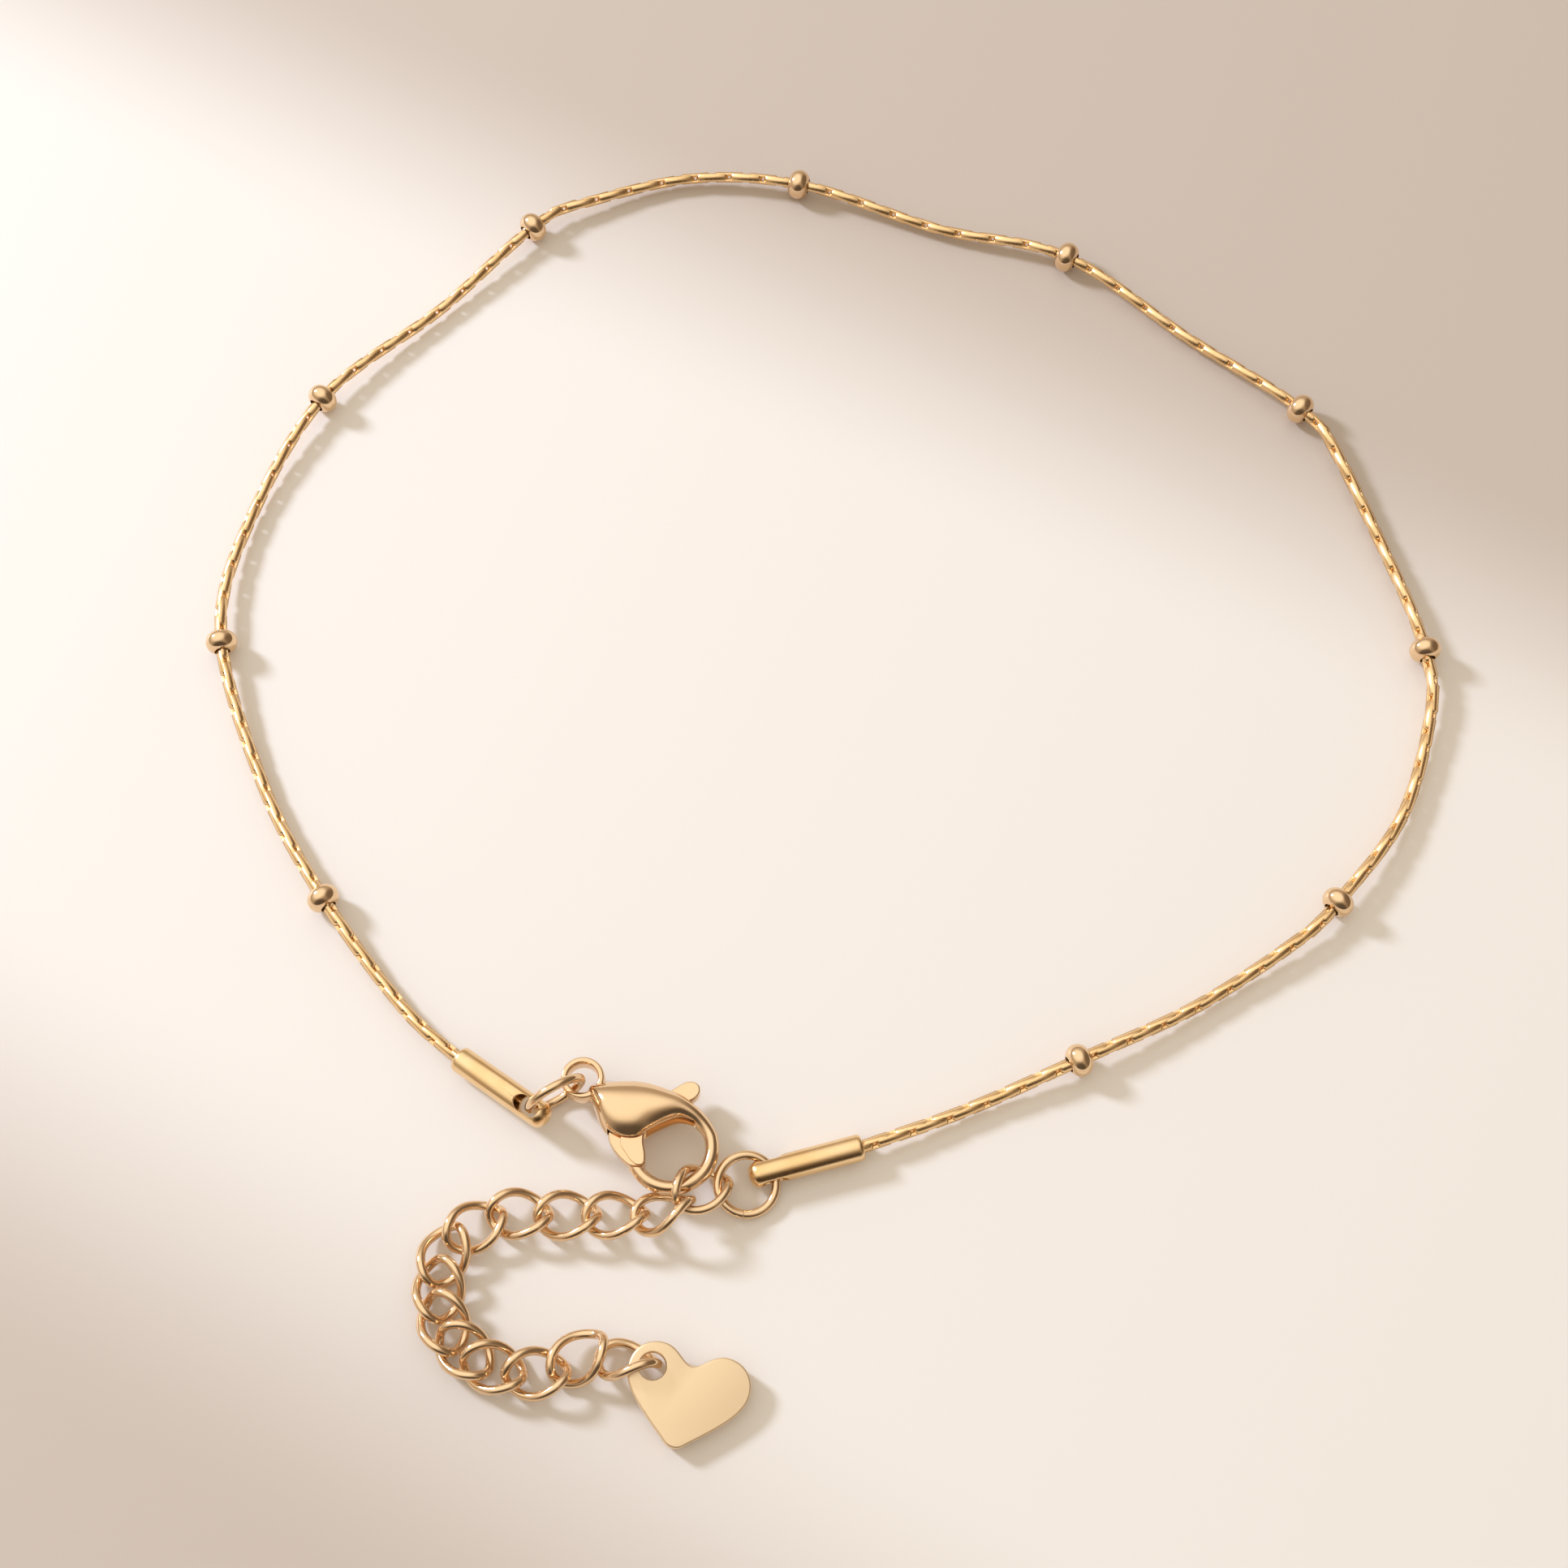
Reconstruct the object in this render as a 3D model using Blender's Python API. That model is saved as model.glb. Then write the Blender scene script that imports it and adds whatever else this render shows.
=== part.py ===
"""A charm anklet lying on a flat surface: a fine bar-link chain with ten rondelle beads, two end tubes, two
jump rings, a lobster clasp with a sprung lever, a curb extender of fourteen links and a heart charm.

Metres, +Z up. The surface is at z = 0 and the origin is under the middle of the anklet.
"""
import math

import bmesh
import bpy
from mathutils import Matrix, Vector

MM = 0.001

# Fine chain: square bar links, each turned a quarter turn from the last, fused into one body
CHAIN_THICKNESS = 0.00066
CHAIN_LINK_PITCH = 0.00118
CHAIN_NOTCH_LENGTH = 0.00036
CHAIN_NOTCH_DEPTH = 0.00013
CHAIN_TURN_START = 45.0
CHAIN_TURN_END = 18.0
CHAIN_IN_TUBE = 0.0011
ROUTE_STEPS = 24

# Beads: a rondelle with flat faces round its bore
BEAD_DIAMETER = 0.0020
BEAD_WIDTH = 0.00135
BEAD_COUNT = 10
BEAD_SIDES = 14
BEAD_FACE_SHARE = 0.45
BEAD_SHOULDER = (0.62, 0.94)
FIRST_BEAD_FROM_TUBE = 0.0140
LAST_BEAD_FROM_TUBE = 0.0135

# End tubes: open at the chain's end, rounded off and pierced at the other
TUBE_DIAMETER = 0.0016
TUBE_LENGTH = 0.0069
TUBE_BORE_DEPTH = 0.0030
TUBE_RIM = 0.00014
TUBE_RIM_LIP = 0.6
TUBE_END_CURVE = [(0.75, 1.00), (0.33, 0.86), (0.08, 0.55), (0.00, 0.20)]
TUBE_SIDES = 16
EYELET_LENGTH = 0.00178
EYELET_WIDTH = 0.00100
EYELET_FROM_END = 0.00052

# Jump rings and extender links
WIRE_DIAMETER = 0.00055
RING_DIAMETER = 0.0040
LINK_LENGTH = 0.00410
LINK_WIDTH = 0.00315
LINK_TWIST = 42.0
WIRE_SIDES = 6
RING_STEPS = 16

# Lobster clasp
CLASP_HEIGHT = 0.0030
HOOK_RADIUS = 0.00236
HOOK_WIDTH = 0.00084
HOOK_HEIGHT = 0.00105
HOOK_ROOT_ANGLE = 20.0
HOOK_BEND_END = -126.0
HOOK_STEPS = 8
CLASP_SIDES = 14
EYE_DIAMETER = 0.00264
EYE_WALL = 0.00045
EYE_HEIGHT = 0.00120
EYE_WIRE_SIDES = 8
LEVER_THICKNESS = 0.00110
PIN_DIAMETER = 0.00060
PIN_LENGTH = 0.0023
PIN_SIDES = 12

# Heart charm
HEART_WIDTH = 0.0071
HEART_HEIGHT = 0.00555
HEART_THICKNESS = 0.00090
HEART_EDGE = 0.00008
HEART_HOLE_DIAMETER = 0.00157
HEART_HOLE_ACROSS = -0.00219
HEART_HOLE_UP = 0.0041
HEART_HOLE_SIDES = 20

# Clearances
BORE_CLEARANCE = 0.00011
LEVER_CLEARANCE = 0.00010
PIN_CLEARANCE = 0.00008

# Route of the fine chain in millimetres between the two tubes' mouths, anticlockwise from the right tube
CHAIN_ROUTE = [
    (7.9, -23.7), (15.2, -20.5), (22.1, -17.2), (28.6, -13.0), (31.4, -10.4), (35.9, -4.6),
    (38.3, 2.3), (38.4, 6.5), (36.9, 12.8), (34.2, 20.8), (32.0, 24.5), (25.0, 30.3), (16.8, 36.8),
    (8.3, 39.3), (-1.0, 42.7), (-8.9, 43.5), (-16.0, 41.4), (-19.3, 39.5), (-25.4, 33.0), (-32.9, 25.7),
    (-37.2, 16.4), (-38.3, 8.0), (-35.0, -2.1), (-30.7, -9.9), (-25.2, -17.2),
]

# Where the loose pieces lie: x, y, z in millimetres, then heading, pitch and roll in degrees. A ring's place is its
# middle, a tube's the middle of its eyelet
TUBE_PLACES = {
    "end_tube_right": (-3.10, -27.25, 0.82, 195.3, 0, 82),
    "end_tube_left": (-17.37, -23.59, 1.45, -36.5, 6.6, 15),
}
RING_PLACES = {
    "jump_ring_right": (-4.57, -28.07, 0.78, 9, -6, 13),
    "jump_ring_left": (-15.83, -22.92, 2.01, 30, -6, 94),
}
FIRST_LINK = (-7.23, -28.42)

# Each link of the extender: the step from the link before in shares of the inner length across x and y, its
# middle's height in millimetres, then heading, pitch and roll in degrees
LINK_STEPS = [
    (0.000, 0.000, 1.43, 27, -26, -3),
    (-0.717, -0.450, 1.36, 18, 12, -36),
    (-0.923, -0.053, 0.98, 2, 1, -18),
    (-0.933, 0.003, 0.86, 0, 1, -9),
    (-0.937, 0.023, 0.90, -4, 1, -4),
    (-0.847, -0.240, 0.90, 30, -4, 1),
    (-0.567, -0.550, 0.85, 69, 2, 0),
    (-0.073, -0.677, 0.84, 90, 3, 2),
    (0.123, -0.643, 0.84, 108, 3, 0),
    (0.423, -0.540, 0.82, 136, 3, 0),
    (0.560, -0.317, 0.82, 161, 2, 0),
    (0.827, -0.117, 0.92, 182, 0, 0),
    (0.790, 0.293, 1.10, 216, -13, 5),
    (0.930, -0.067, 1.20, 171, -16, 41),
]

# The heart's hole from the last link's middle in millimetres, then heading, pitch and roll in degrees
HEART_ON_LINK = (1.42, -0.35, 0.10, -12.6, -7.2, 6.5)

# The middle of the clasp's hook in millimetres
HOOK_PLACE = (-8.95, -26.11)

# Clasp body in hook radii from the hook's middle: its outer edge, its inner edge, and its share of the height
BODY_SECTIONS = [
    ((-1.98, 1.62), (-2.12, 1.40), 0.38),
    ((-1.87, 1.64), (-1.97, 1.05), 0.62),
    ((-1.66, 1.69), (-1.72, 0.48), 0.86),
    ((-1.31, 1.72), (-1.33, 0.19), 0.98),
    ((-0.90, 1.72), (-0.87, 0.15), 1.00),
    ((-0.49, 1.64), (-0.51, 0.38), 0.98),
    ((-0.08, 1.49), (-0.16, 0.57), 0.92),
    ((0.32, 1.30), (0.15, 0.68), 0.80),
    ((0.67, 1.02), (0.43, 0.62), 0.64),
    ((0.92, 0.73), (0.64, 0.46), 0.46),
]
EYE_PLACE = (-2.25, 1.77)
PIVOT = (-0.72, 1.08)

# The hook's end past its round bend: outer and inner edge. Its last face follows the gate's swing about the pivot
HOOK_END = [((-0.90, -0.75), (-0.585, -0.58)), ((-1.055, -0.52), (-0.61, -0.55))]

# Slot through the body for the lever, in hook radii
SLOT_OUTLINE = [
    (-1.60, -0.30), (0.50, -0.30), (0.58, 0.60), (0.50, 0.85), (0.62, 1.00), (0.90, 1.60), (0.20, 2.30),
    (-0.50, 1.95), (-0.52, 1.55), (-0.72, 1.56), (-1.00, 1.50), (-1.28, 1.35), (-1.50, 1.10), (-1.60, 0.50),
]

# Lever seen from above, in hook radii: gate tip, gate, arm, thumb tab and back along the outer side
LEVER_OUTLINE = [
    (-1.05, -0.455), (-0.87, -0.485), (-0.68, -0.49), (-0.63, -0.42), (-0.655, -0.15), (-0.70, 0.12),
    (-0.50, 0.42), (-0.12, 0.66), (0.16, 0.92), (0.40, 1.16), (0.62, 1.34), (0.68, 1.48), (0.60, 1.62),
    (0.46, 1.68), (0.14, 1.52), (-0.22, 1.37), (-0.50, 1.38), (-0.72, 1.43), (-0.95, 1.38), (-1.10, 1.25),
    (-1.18, 0.85), (-1.34, 0.12), (-1.22, -0.22),
]

# Half of the heart's edge in shares of its half width and its height up from the tip, as cubic curves
HEART_CURVES = [
    ((0.00, 0.835), (0.16, 0.835), (0.27, 1.00), (0.53, 1.00), 6),
    ((0.53, 1.00), (0.80, 1.00), (1.00, 0.875), (1.00, 0.70), 6),
    ((1.00, 0.70), (1.00, 0.47), (0.58, 0.27), (0.14, 0.03), 7),
    ((0.14, 0.03), (0.10, 0.01), (0.05, 0.00), (0.00, 0.00), 3),
]

# Finishes: colour, roughness
POLISHED_GOLD = ((0.86, 0.62, 0.38, 1.0), 0.16)
SATIN_GOLD = ((0.93, 0.73, 0.48, 1.0), 0.28)


def clear_scene():
    for thing in list(bpy.data.objects):
        bpy.data.objects.remove(thing, do_unlink=True)


def gold(name, finish):
    colour, roughness = finish
    material = bpy.data.materials.new(name)
    material.use_nodes = True
    shader = material.node_tree.nodes["Principled BSDF"]
    shader.inputs["Base Color"].default_value = colour
    shader.inputs["Metallic"].default_value = 1.0
    shader.inputs["Roughness"].default_value = roughness
    return material


def add_object(name, bm, finish=POLISHED_GOLD, smooth_angle=40.0):
    """Turn a bmesh into a named object with its own material."""
    bmesh.ops.recalc_face_normals(bm, faces=bm.faces)
    mesh = bpy.data.meshes.new(name)
    bm.to_mesh(mesh)
    bm.free()
    mesh.shade_smooth()
    mesh.set_sharp_from_angle(angle=math.radians(smooth_angle))
    mesh.materials.append(gold(f"{name}_gold", finish))
    thing = bpy.data.objects.new(name, mesh)
    bpy.context.scene.collection.objects.link(thing)
    return thing


def add_rings(bm, rings, closed=False):
    """Skin a list of point rings; open ends get a flat cap."""
    loops = [[bm.verts.new(point) for point in ring] for ring in rings]
    pairs = list(zip(loops, loops[1:]))
    if closed:
        pairs.append((loops[-1], loops[0]))
    for one, two in pairs:
        for i in range(len(one)):
            j = (i + 1) % len(one)
            bm.faces.new((one[i], one[j], two[j], two[i]))
    if not closed:
        bm.faces.new(loops[0][::-1])
        bm.faces.new(loops[-1])


def turned(profile, sides):
    """Rings of a turned shape along X from its profile of (x, radius) points."""
    steps = [2 * math.pi * i / sides for i in range(sides)]
    return [[Vector((x, r * math.sin(a), r * math.cos(a))) for a in steps] for x, r in profile]


def oval_section(middle, across, up, half_width, half_height, sides):
    points = []
    for i in range(sides):
        angle = 2 * math.pi * i / sides
        points.append(middle + across * half_width * math.cos(angle) + up * half_height * math.sin(angle))
    return points


def prism(bm, outline, low, high):
    add_rings(bm, [[Vector((x, y, z)) for x, y in outline] for z in (low, high)])


def turn_matrix(heading, pitch, roll):
    """Roll about X, then lift the X end by the pitch, then turn to the heading."""
    return (
        Matrix.Rotation(math.radians(heading), 4, "Z")
        @ Matrix.Rotation(-math.radians(pitch), 4, "Y")
        @ Matrix.Rotation(math.radians(roll), 4, "X")
    )


def set_down(thing, place):
    """Place a piece by its row of millimetres and degrees."""
    x, y, z, heading, pitch, roll = place
    thing.matrix_world = Matrix.Translation(Vector((x, y, z)) * MM) @ turn_matrix(heading, pitch, roll)


def cutter(name, bm):
    thing = add_object(name, bm)
    thing.hide_render = True
    thing.display_type = "WIRE"
    return thing


def cut(thing, tool, operation="DIFFERENCE"):
    modifier = thing.modifiers.new(tool.name, "BOOLEAN")
    modifier.operation = operation
    modifier.object = tool
    modifier.solver = "EXACT"


# Fine chain and its beads


def tube_axis(name):
    heading, pitch = TUBE_PLACES[name][3:5]
    return turn_matrix(heading, pitch, 0) @ Vector((1, 0, 0))


def eyelet_middle():
    """How far the eyelet's middle lies from the tube's mouth."""
    return TUBE_LENGTH - EYELET_FROM_END - EYELET_LENGTH / 2


def tube_mouth(name):
    return Vector(TUBE_PLACES[name][:3]) * MM - tube_axis(name) * eyelet_middle()


def chain_path():
    """The chain's middle line as points with the distance run, from inside one tube to inside the other."""
    height = BEAD_DIAMETER / 2
    route = [Vector((x * MM, y * MM, height)) for x, y in CHAIN_ROUTE]
    route = [tube_mouth("end_tube_right"), *route, tube_mouth("end_tube_left")]
    start = route[0] + tube_axis("end_tube_right") * CHAIN_IN_TUBE
    end = route[-1] + tube_axis("end_tube_left") * CHAIN_IN_TUBE
    points = [start, *route, end]
    line = [start]
    for a, b, c, d in zip(points, points[1:], points[2:], points[3:]):
        for step in range(ROUTE_STEPS):
            t = step / ROUTE_STEPS
            line.append(smooth_between(a, b, c, d, t))
    line += [route[-1], end]
    run = [0.0]
    for one, two in zip(line, line[1:]):
        run.append(run[-1] + (two - one).length)
    return line, run


def smooth_between(a, b, c, d, t):
    """A point of the smooth curve through b and c."""
    return 0.5 * (
        2 * b + (c - a) * t + (2 * a - 5 * b + 4 * c - d) * t**2 + (3 * b - a - 3 * c + d) * t**3
    )


def frame_at(path, distance):
    """Position, direction, sideways and upward axes at a distance along the path."""
    line, run = path
    i = 0
    while i < len(run) - 2 and run[i + 1] < distance:
        i += 1
    share = (distance - run[i]) / (run[i + 1] - run[i])
    ahead = (line[min(i + 2, len(line) - 1)] - line[i]).normalized()
    behind = (line[i + 1] - line[max(i - 1, 0)]).normalized()
    along = behind.lerp(ahead, share).normalized()
    side = along.cross(Vector((0, 0, 1))).normalized()
    return line[i].lerp(line[i + 1], share), along, side, side.cross(along)


def chain_section(path, distance, narrow):
    """A square section; narrow is the axis whose two sides are notched there, or None."""
    middle, _, side, up = frame_at(path, distance)
    share = distance / path[1][-1]
    turn = math.radians(CHAIN_TURN_START + (CHAIN_TURN_END - CHAIN_TURN_START) * share)
    one = side * math.cos(turn) + up * math.sin(turn)
    two = up * math.cos(turn) - side * math.sin(turn)
    full = CHAIN_THICKNESS / 2
    pinched = full - CHAIN_NOTCH_DEPTH
    a = pinched if narrow == 0 else full
    b = pinched if narrow == 1 else full
    return [middle + one * a * p + two * b * q for p, q in ((1, 1), (-1, 1), (-1, -1), (1, -1))]


def build_chain(path):
    length = path[1][-1]
    count = int(length / CHAIN_LINK_PITCH)
    margin = (length - (count - 1) * CHAIN_LINK_PITCH) / 2
    rings = [chain_section(path, 0.0, None)]
    for link in range(count):
        middle = margin + link * CHAIN_LINK_PITCH
        rings.append(chain_section(path, middle - CHAIN_NOTCH_LENGTH / 2, None))
        rings.append(chain_section(path, middle, link % 2))
        rings.append(chain_section(path, middle + CHAIN_NOTCH_LENGTH / 2, None))
    rings.append(chain_section(path, length, None))
    bm = bmesh.new()
    add_rings(bm, rings)
    add_object("fine_chain", bm, smooth_angle=15.0)


def bore_radius():
    """The chain's corners need this much room in a bead or a tube."""
    return CHAIN_THICKNESS / math.sqrt(2) + BORE_CLEARANCE


def bead_profile():
    half, radius, bore = BEAD_WIDTH / 2, BEAD_DIAMETER / 2, bore_radius()
    face = bore + (radius - bore) * BEAD_FACE_SHARE
    shoulder, shoulder_radius = half * BEAD_SHOULDER[0], radius * BEAD_SHOULDER[1]
    return [
        (-half, bore), (half, bore), (half, face), (shoulder, shoulder_radius),
        (0.0, radius), (-shoulder, shoulder_radius), (-half, face),
    ]


def build_beads(path):
    length = path[1][-1]
    first = CHAIN_IN_TUBE + FIRST_BEAD_FROM_TUBE
    last = length - CHAIN_IN_TUBE - LAST_BEAD_FROM_TUBE
    for number in range(BEAD_COUNT):
        distance = first + (last - first) * number / (BEAD_COUNT - 1)
        middle, along, side, up = frame_at(path, distance)
        bm = bmesh.new()
        add_rings(bm, turned(bead_profile(), BEAD_SIDES), closed=True)
        bead = add_object(f"bead_{number + 1:02d}", bm, smooth_angle=50.0)
        bead.matrix_world = Matrix.Translation(middle) @ Matrix((along, -side, up)).transposed().to_4x4()


# End tubes, jump rings and extender links


def tube_profile():
    radius, bore = TUBE_DIAMETER / 2, bore_radius()
    mouth = [(TUBE_BORE_DEPTH, bore), (TUBE_RIM * TUBE_RIM_LIP, bore), (0.0, (radius + bore) / 2), (TUBE_RIM, radius)]
    return mouth + [(TUBE_LENGTH - radius * back, radius * share) for back, share in TUBE_END_CURVE]


def eyelet_outline(steps=6):
    """A slot with round ends near the closed end of a tube."""
    radius = EYELET_WIDTH / 2
    far = TUBE_LENGTH - EYELET_FROM_END - radius
    near = far - (EYELET_LENGTH - EYELET_WIDTH)
    arcs = [(near, 90 + 180 * i / steps) for i in range(steps + 1)]
    arcs += [(far, -90 + 180 * i / steps) for i in range(steps + 1)]
    return [
        (x + radius * math.cos(math.radians(a)), radius * math.sin(math.radians(a))) for x, a in arcs
    ]


def build_tubes():
    for name, place in TUBE_PLACES.items():
        bm = bmesh.new()
        add_rings(bm, turned(tube_profile(), TUBE_SIDES))
        tube = add_object(name, bm)
        hole = bmesh.new()
        prism(hole, eyelet_outline(), -TUBE_DIAMETER, TUBE_DIAMETER)
        tool = cutter(f"{name}_eyelet_cutter", hole)
        start = (*(tube_mouth(name) / MM), *place[3:])
        set_down(tube, start)
        set_down(tool, start)
        cut(tube, tool)


def wire_loop(points, radius):
    """Rings of a round wire bent along a closed line of points about the origin."""
    rings = []
    for i, point in enumerate(points):
        along = (points[(i + 1) % len(points)] - points[i - 1]).normalized()
        outward = (point - along * point.dot(along)).normalized()
        over = along.cross(outward)
        rings.append(oval_section(point, outward, over, radius, radius, WIRE_SIDES))
    return rings


def build_ring(name, place):
    radius = (RING_DIAMETER - WIRE_DIAMETER) / 2
    angles = [2 * math.pi * i / RING_STEPS for i in range(RING_STEPS)]
    points = [Vector((radius * math.cos(a), radius * math.sin(a), 0)) for a in angles]
    bm = bmesh.new()
    add_rings(bm, wire_loop(points, WIRE_DIAMETER / 2), closed=True)
    set_down(add_object(name, bm), place)


def curb_line():
    """The middle line of one curb link: an oval whose two ends are twisted opposite ways."""
    half_length = (LINK_LENGTH - WIRE_DIAMETER) / 2
    half_width = (LINK_WIDTH - WIRE_DIAMETER) / 2
    points = []
    for i in range(RING_STEPS):
        angle = 2 * math.pi * i / RING_STEPS
        twist = -math.radians(LINK_TWIST) * math.cos(angle)
        off = half_width * math.sin(angle)
        points.append(Vector((half_length * math.cos(angle), off * math.cos(twist), off * math.sin(twist))))
    return points


def link_places():
    """Each link's place: the links hang on each other, so a step follows their inner length."""
    inner = (LINK_LENGTH - 2 * WIRE_DIAMETER) / MM
    x, y = FIRST_LINK
    places = []
    for step_x, step_y, *rest in LINK_STEPS:
        x += step_x * inner
        y += step_y * inner
        places.append((x, y, *rest))
    return places


def build_extender():
    for number, place in enumerate(link_places()):
        bm = bmesh.new()
        add_rings(bm, wire_loop(curb_line(), WIRE_DIAMETER / 2), closed=True)
        set_down(add_object(f"extender_link_{number + 1:02d}", bm), place)


# Clasp


def in_clasp(point):
    """A place at half the clasp's height, given in hook radii from the hook's middle."""
    x, y = HOOK_PLACE
    return Vector((x * MM + point[0] * HOOK_RADIUS, y * MM + point[1] * HOOK_RADIUS, CLASP_HEIGHT / 2))


def section_between(outer, inner, height):
    """An oval section of the body that spans two points of its plan."""
    one, two = in_clasp(outer), in_clasp(inner)
    half = (one - two).length / 2
    up = Vector((0, 0, 1))
    return oval_section((one + two) / 2, (one - two).normalized(), up, half, height / 2, CLASP_SIDES)


def body_rings():
    up = Vector((0, 0, 1))
    rings = [section_between(outer, inner, share * CLASP_HEIGHT) for outer, inner, share in BODY_SECTIONS]
    for step in range(HOOK_STEPS + 1):
        angle = math.radians(HOOK_ROOT_ANGLE + (HOOK_BEND_END - HOOK_ROOT_ANGLE) * step / HOOK_STEPS)
        across = Vector((math.cos(angle), math.sin(angle), 0))
        middle = in_clasp(across)
        rings.append(oval_section(middle, across, up, HOOK_WIDTH / 2, HOOK_HEIGHT / 2, CLASP_SIDES))
    for outer, inner in HOOK_END:
        rings.append(section_between(outer, inner, HOOK_HEIGHT))
    return rings


def eye_rings():
    middle = in_clasp(EYE_PLACE)
    radius = (EYE_DIAMETER - EYE_WALL) / 2
    rings = []
    for i in range(RING_STEPS):
        angle = 2 * math.pi * i / RING_STEPS
        across = Vector((math.cos(angle), math.sin(angle), 0))
        place = middle + across * radius
        up = Vector((0, 0, 1))
        rings.append(oval_section(place, across, up, EYE_WALL / 2, EYE_HEIGHT / 2, EYE_WIRE_SIDES))
    return rings


def pivot_cylinder(radius, length):
    bm = bmesh.new()
    bmesh.ops.create_cone(
        bm, cap_ends=True, segments=PIN_SIDES, radius1=radius, radius2=radius, depth=length,
        matrix=Matrix.Translation(in_clasp(PIVOT)),
    )
    return bm


def clasp_outline(outline):
    return [in_clasp(point).xy for point in outline]


def build_clasp():
    middle = CLASP_HEIGHT / 2
    bm = bmesh.new()
    add_rings(bm, body_rings())
    body = add_object("clasp_body", bm)
    eye = bmesh.new()
    add_rings(eye, eye_rings(), closed=True)
    cut(body, cutter("clasp_eye", eye), "UNION")
    slot = bmesh.new()
    half_slot = LEVER_THICKNESS / 2 + LEVER_CLEARANCE
    prism(slot, clasp_outline(SLOT_OUTLINE), middle - half_slot, middle + half_slot)
    cut(body, cutter("lever_slot_cutter", slot))
    hole_radius = PIN_DIAMETER / 2 + PIN_CLEARANCE
    hole_length = PIN_LENGTH + 2 * PIN_CLEARANCE
    pin_hole = cutter("pin_hole_cutter", pivot_cylinder(hole_radius, hole_length))
    cut(body, pin_hole)
    add_object("clasp_pin", pivot_cylinder(PIN_DIAMETER / 2, PIN_LENGTH))
    build_lever(pin_hole)


def build_lever(pin_hole):
    """The lever turns about the upright pin, so its origin lies on it."""
    pivot = in_clasp(PIVOT)
    outline = [point - pivot.xy for point in clasp_outline(LEVER_OUTLINE)]
    bm = bmesh.new()
    prism(bm, outline, -LEVER_THICKNESS / 2, LEVER_THICKNESS / 2)
    lever = add_object("clasp_lever", bm)
    lever.location = pivot
    bpy.context.view_layer.update()
    cut(lever, pin_hole)


# Heart


def cubic(a, b, c, d, t):
    return a * (1 - t) ** 3 + 3 * b * t * (1 - t) ** 2 + 3 * c * t**2 * (1 - t) + d * t**3


def heart_outline():
    """The heart's edge from the cleft down one side to the tip and up the other, tip at the origin."""
    half = []
    for a, b, c, d, steps in HEART_CURVES:
        for step in range(steps):
            x, y = (cubic(p, q, r, s, step / steps) for p, q, r, s in zip(a, b, c, d))
            half.append((x * HEART_WIDTH / 2, y * HEART_HEIGHT))
    tip = [(0.0, 0.0)]
    other_side = [(-x, y) for x, y in half[:0:-1]]
    return half + tip + other_side


def offset(outline, amount):
    """The outline, given clockwise, moved outwards by an amount, or inwards where it is negative."""
    moved = []
    for i, (x, y) in enumerate(outline):
        before = Vector(outline[i - 1])
        after = Vector(outline[(i + 1) % len(outline)])
        along = (after - before).normalized()
        moved.append((x - along.y * amount, y + along.x * amount))
    return moved


def build_heart():
    """The heart lies with its hole's middle at the local origin."""
    outline = [(x - HEART_HOLE_ACROSS, y - HEART_HOLE_UP) for x, y in heart_outline()]
    inset = offset(outline, -HEART_EDGE)
    half = HEART_THICKNESS / 2
    levels = [(inset, -half), (outline, HEART_EDGE - half), (outline, half - HEART_EDGE), (inset, half)]
    bm = bmesh.new()
    add_rings(bm, [[Vector((x, y, z)) for x, y in points] for points, z in levels])
    heart = add_object("heart_charm", bm, SATIN_GOLD, smooth_angle=30.0)
    hole = bmesh.new()
    radius = HEART_HOLE_DIAMETER / 2
    bmesh.ops.create_cone(
        hole, cap_ends=True, segments=HEART_HOLE_SIDES, radius1=radius, radius2=radius,
        depth=4 * HEART_THICKNESS,
    )
    tool = cutter("heart_hole_cutter", hole)
    place = [a + b for a, b in zip(link_places()[-1], HEART_ON_LINK)][:3] + list(HEART_ON_LINK[3:])
    set_down(heart, place)
    set_down(tool, place)
    cut(heart, tool)


def main():
    clear_scene()
    path = chain_path()
    build_chain(path)
    build_beads(path)
    build_tubes()
    for name, place in RING_PLACES.items():
        build_ring(name, place)
    build_extender()
    build_clasp()
    build_heart()


main()
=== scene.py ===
"""Looks of the charm anklet on its CAD frame: the fine bar-link chain with its beads, the end tubes,
jump rings, clasp, extender and heart, with their polished gold, on a pale floor in soft light.

Metres, +Z up. The floor is at z = 0 and the camera stands where the photograph was taken from.
"""
import math

import bmesh
import bpy
from bpy.props import FloatProperty, FloatVectorProperty, IntProperty, PointerProperty
from mathutils import Matrix, Vector


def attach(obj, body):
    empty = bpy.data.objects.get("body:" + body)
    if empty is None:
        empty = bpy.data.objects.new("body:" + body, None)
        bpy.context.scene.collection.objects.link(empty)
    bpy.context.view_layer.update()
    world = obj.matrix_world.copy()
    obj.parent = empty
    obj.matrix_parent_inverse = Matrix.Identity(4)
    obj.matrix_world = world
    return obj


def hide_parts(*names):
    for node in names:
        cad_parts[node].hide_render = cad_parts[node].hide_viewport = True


bl_info = {
    "name": "Charm Anklet",
    "version": (1, 0, 0),
    "blender": (4, 5, 0),
    "location": "3D View > Sidebar > Anklet",
    "description": "Builds the looks of a gold charm anklet on its CAD frame",
    "category": "Object",
}

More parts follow.
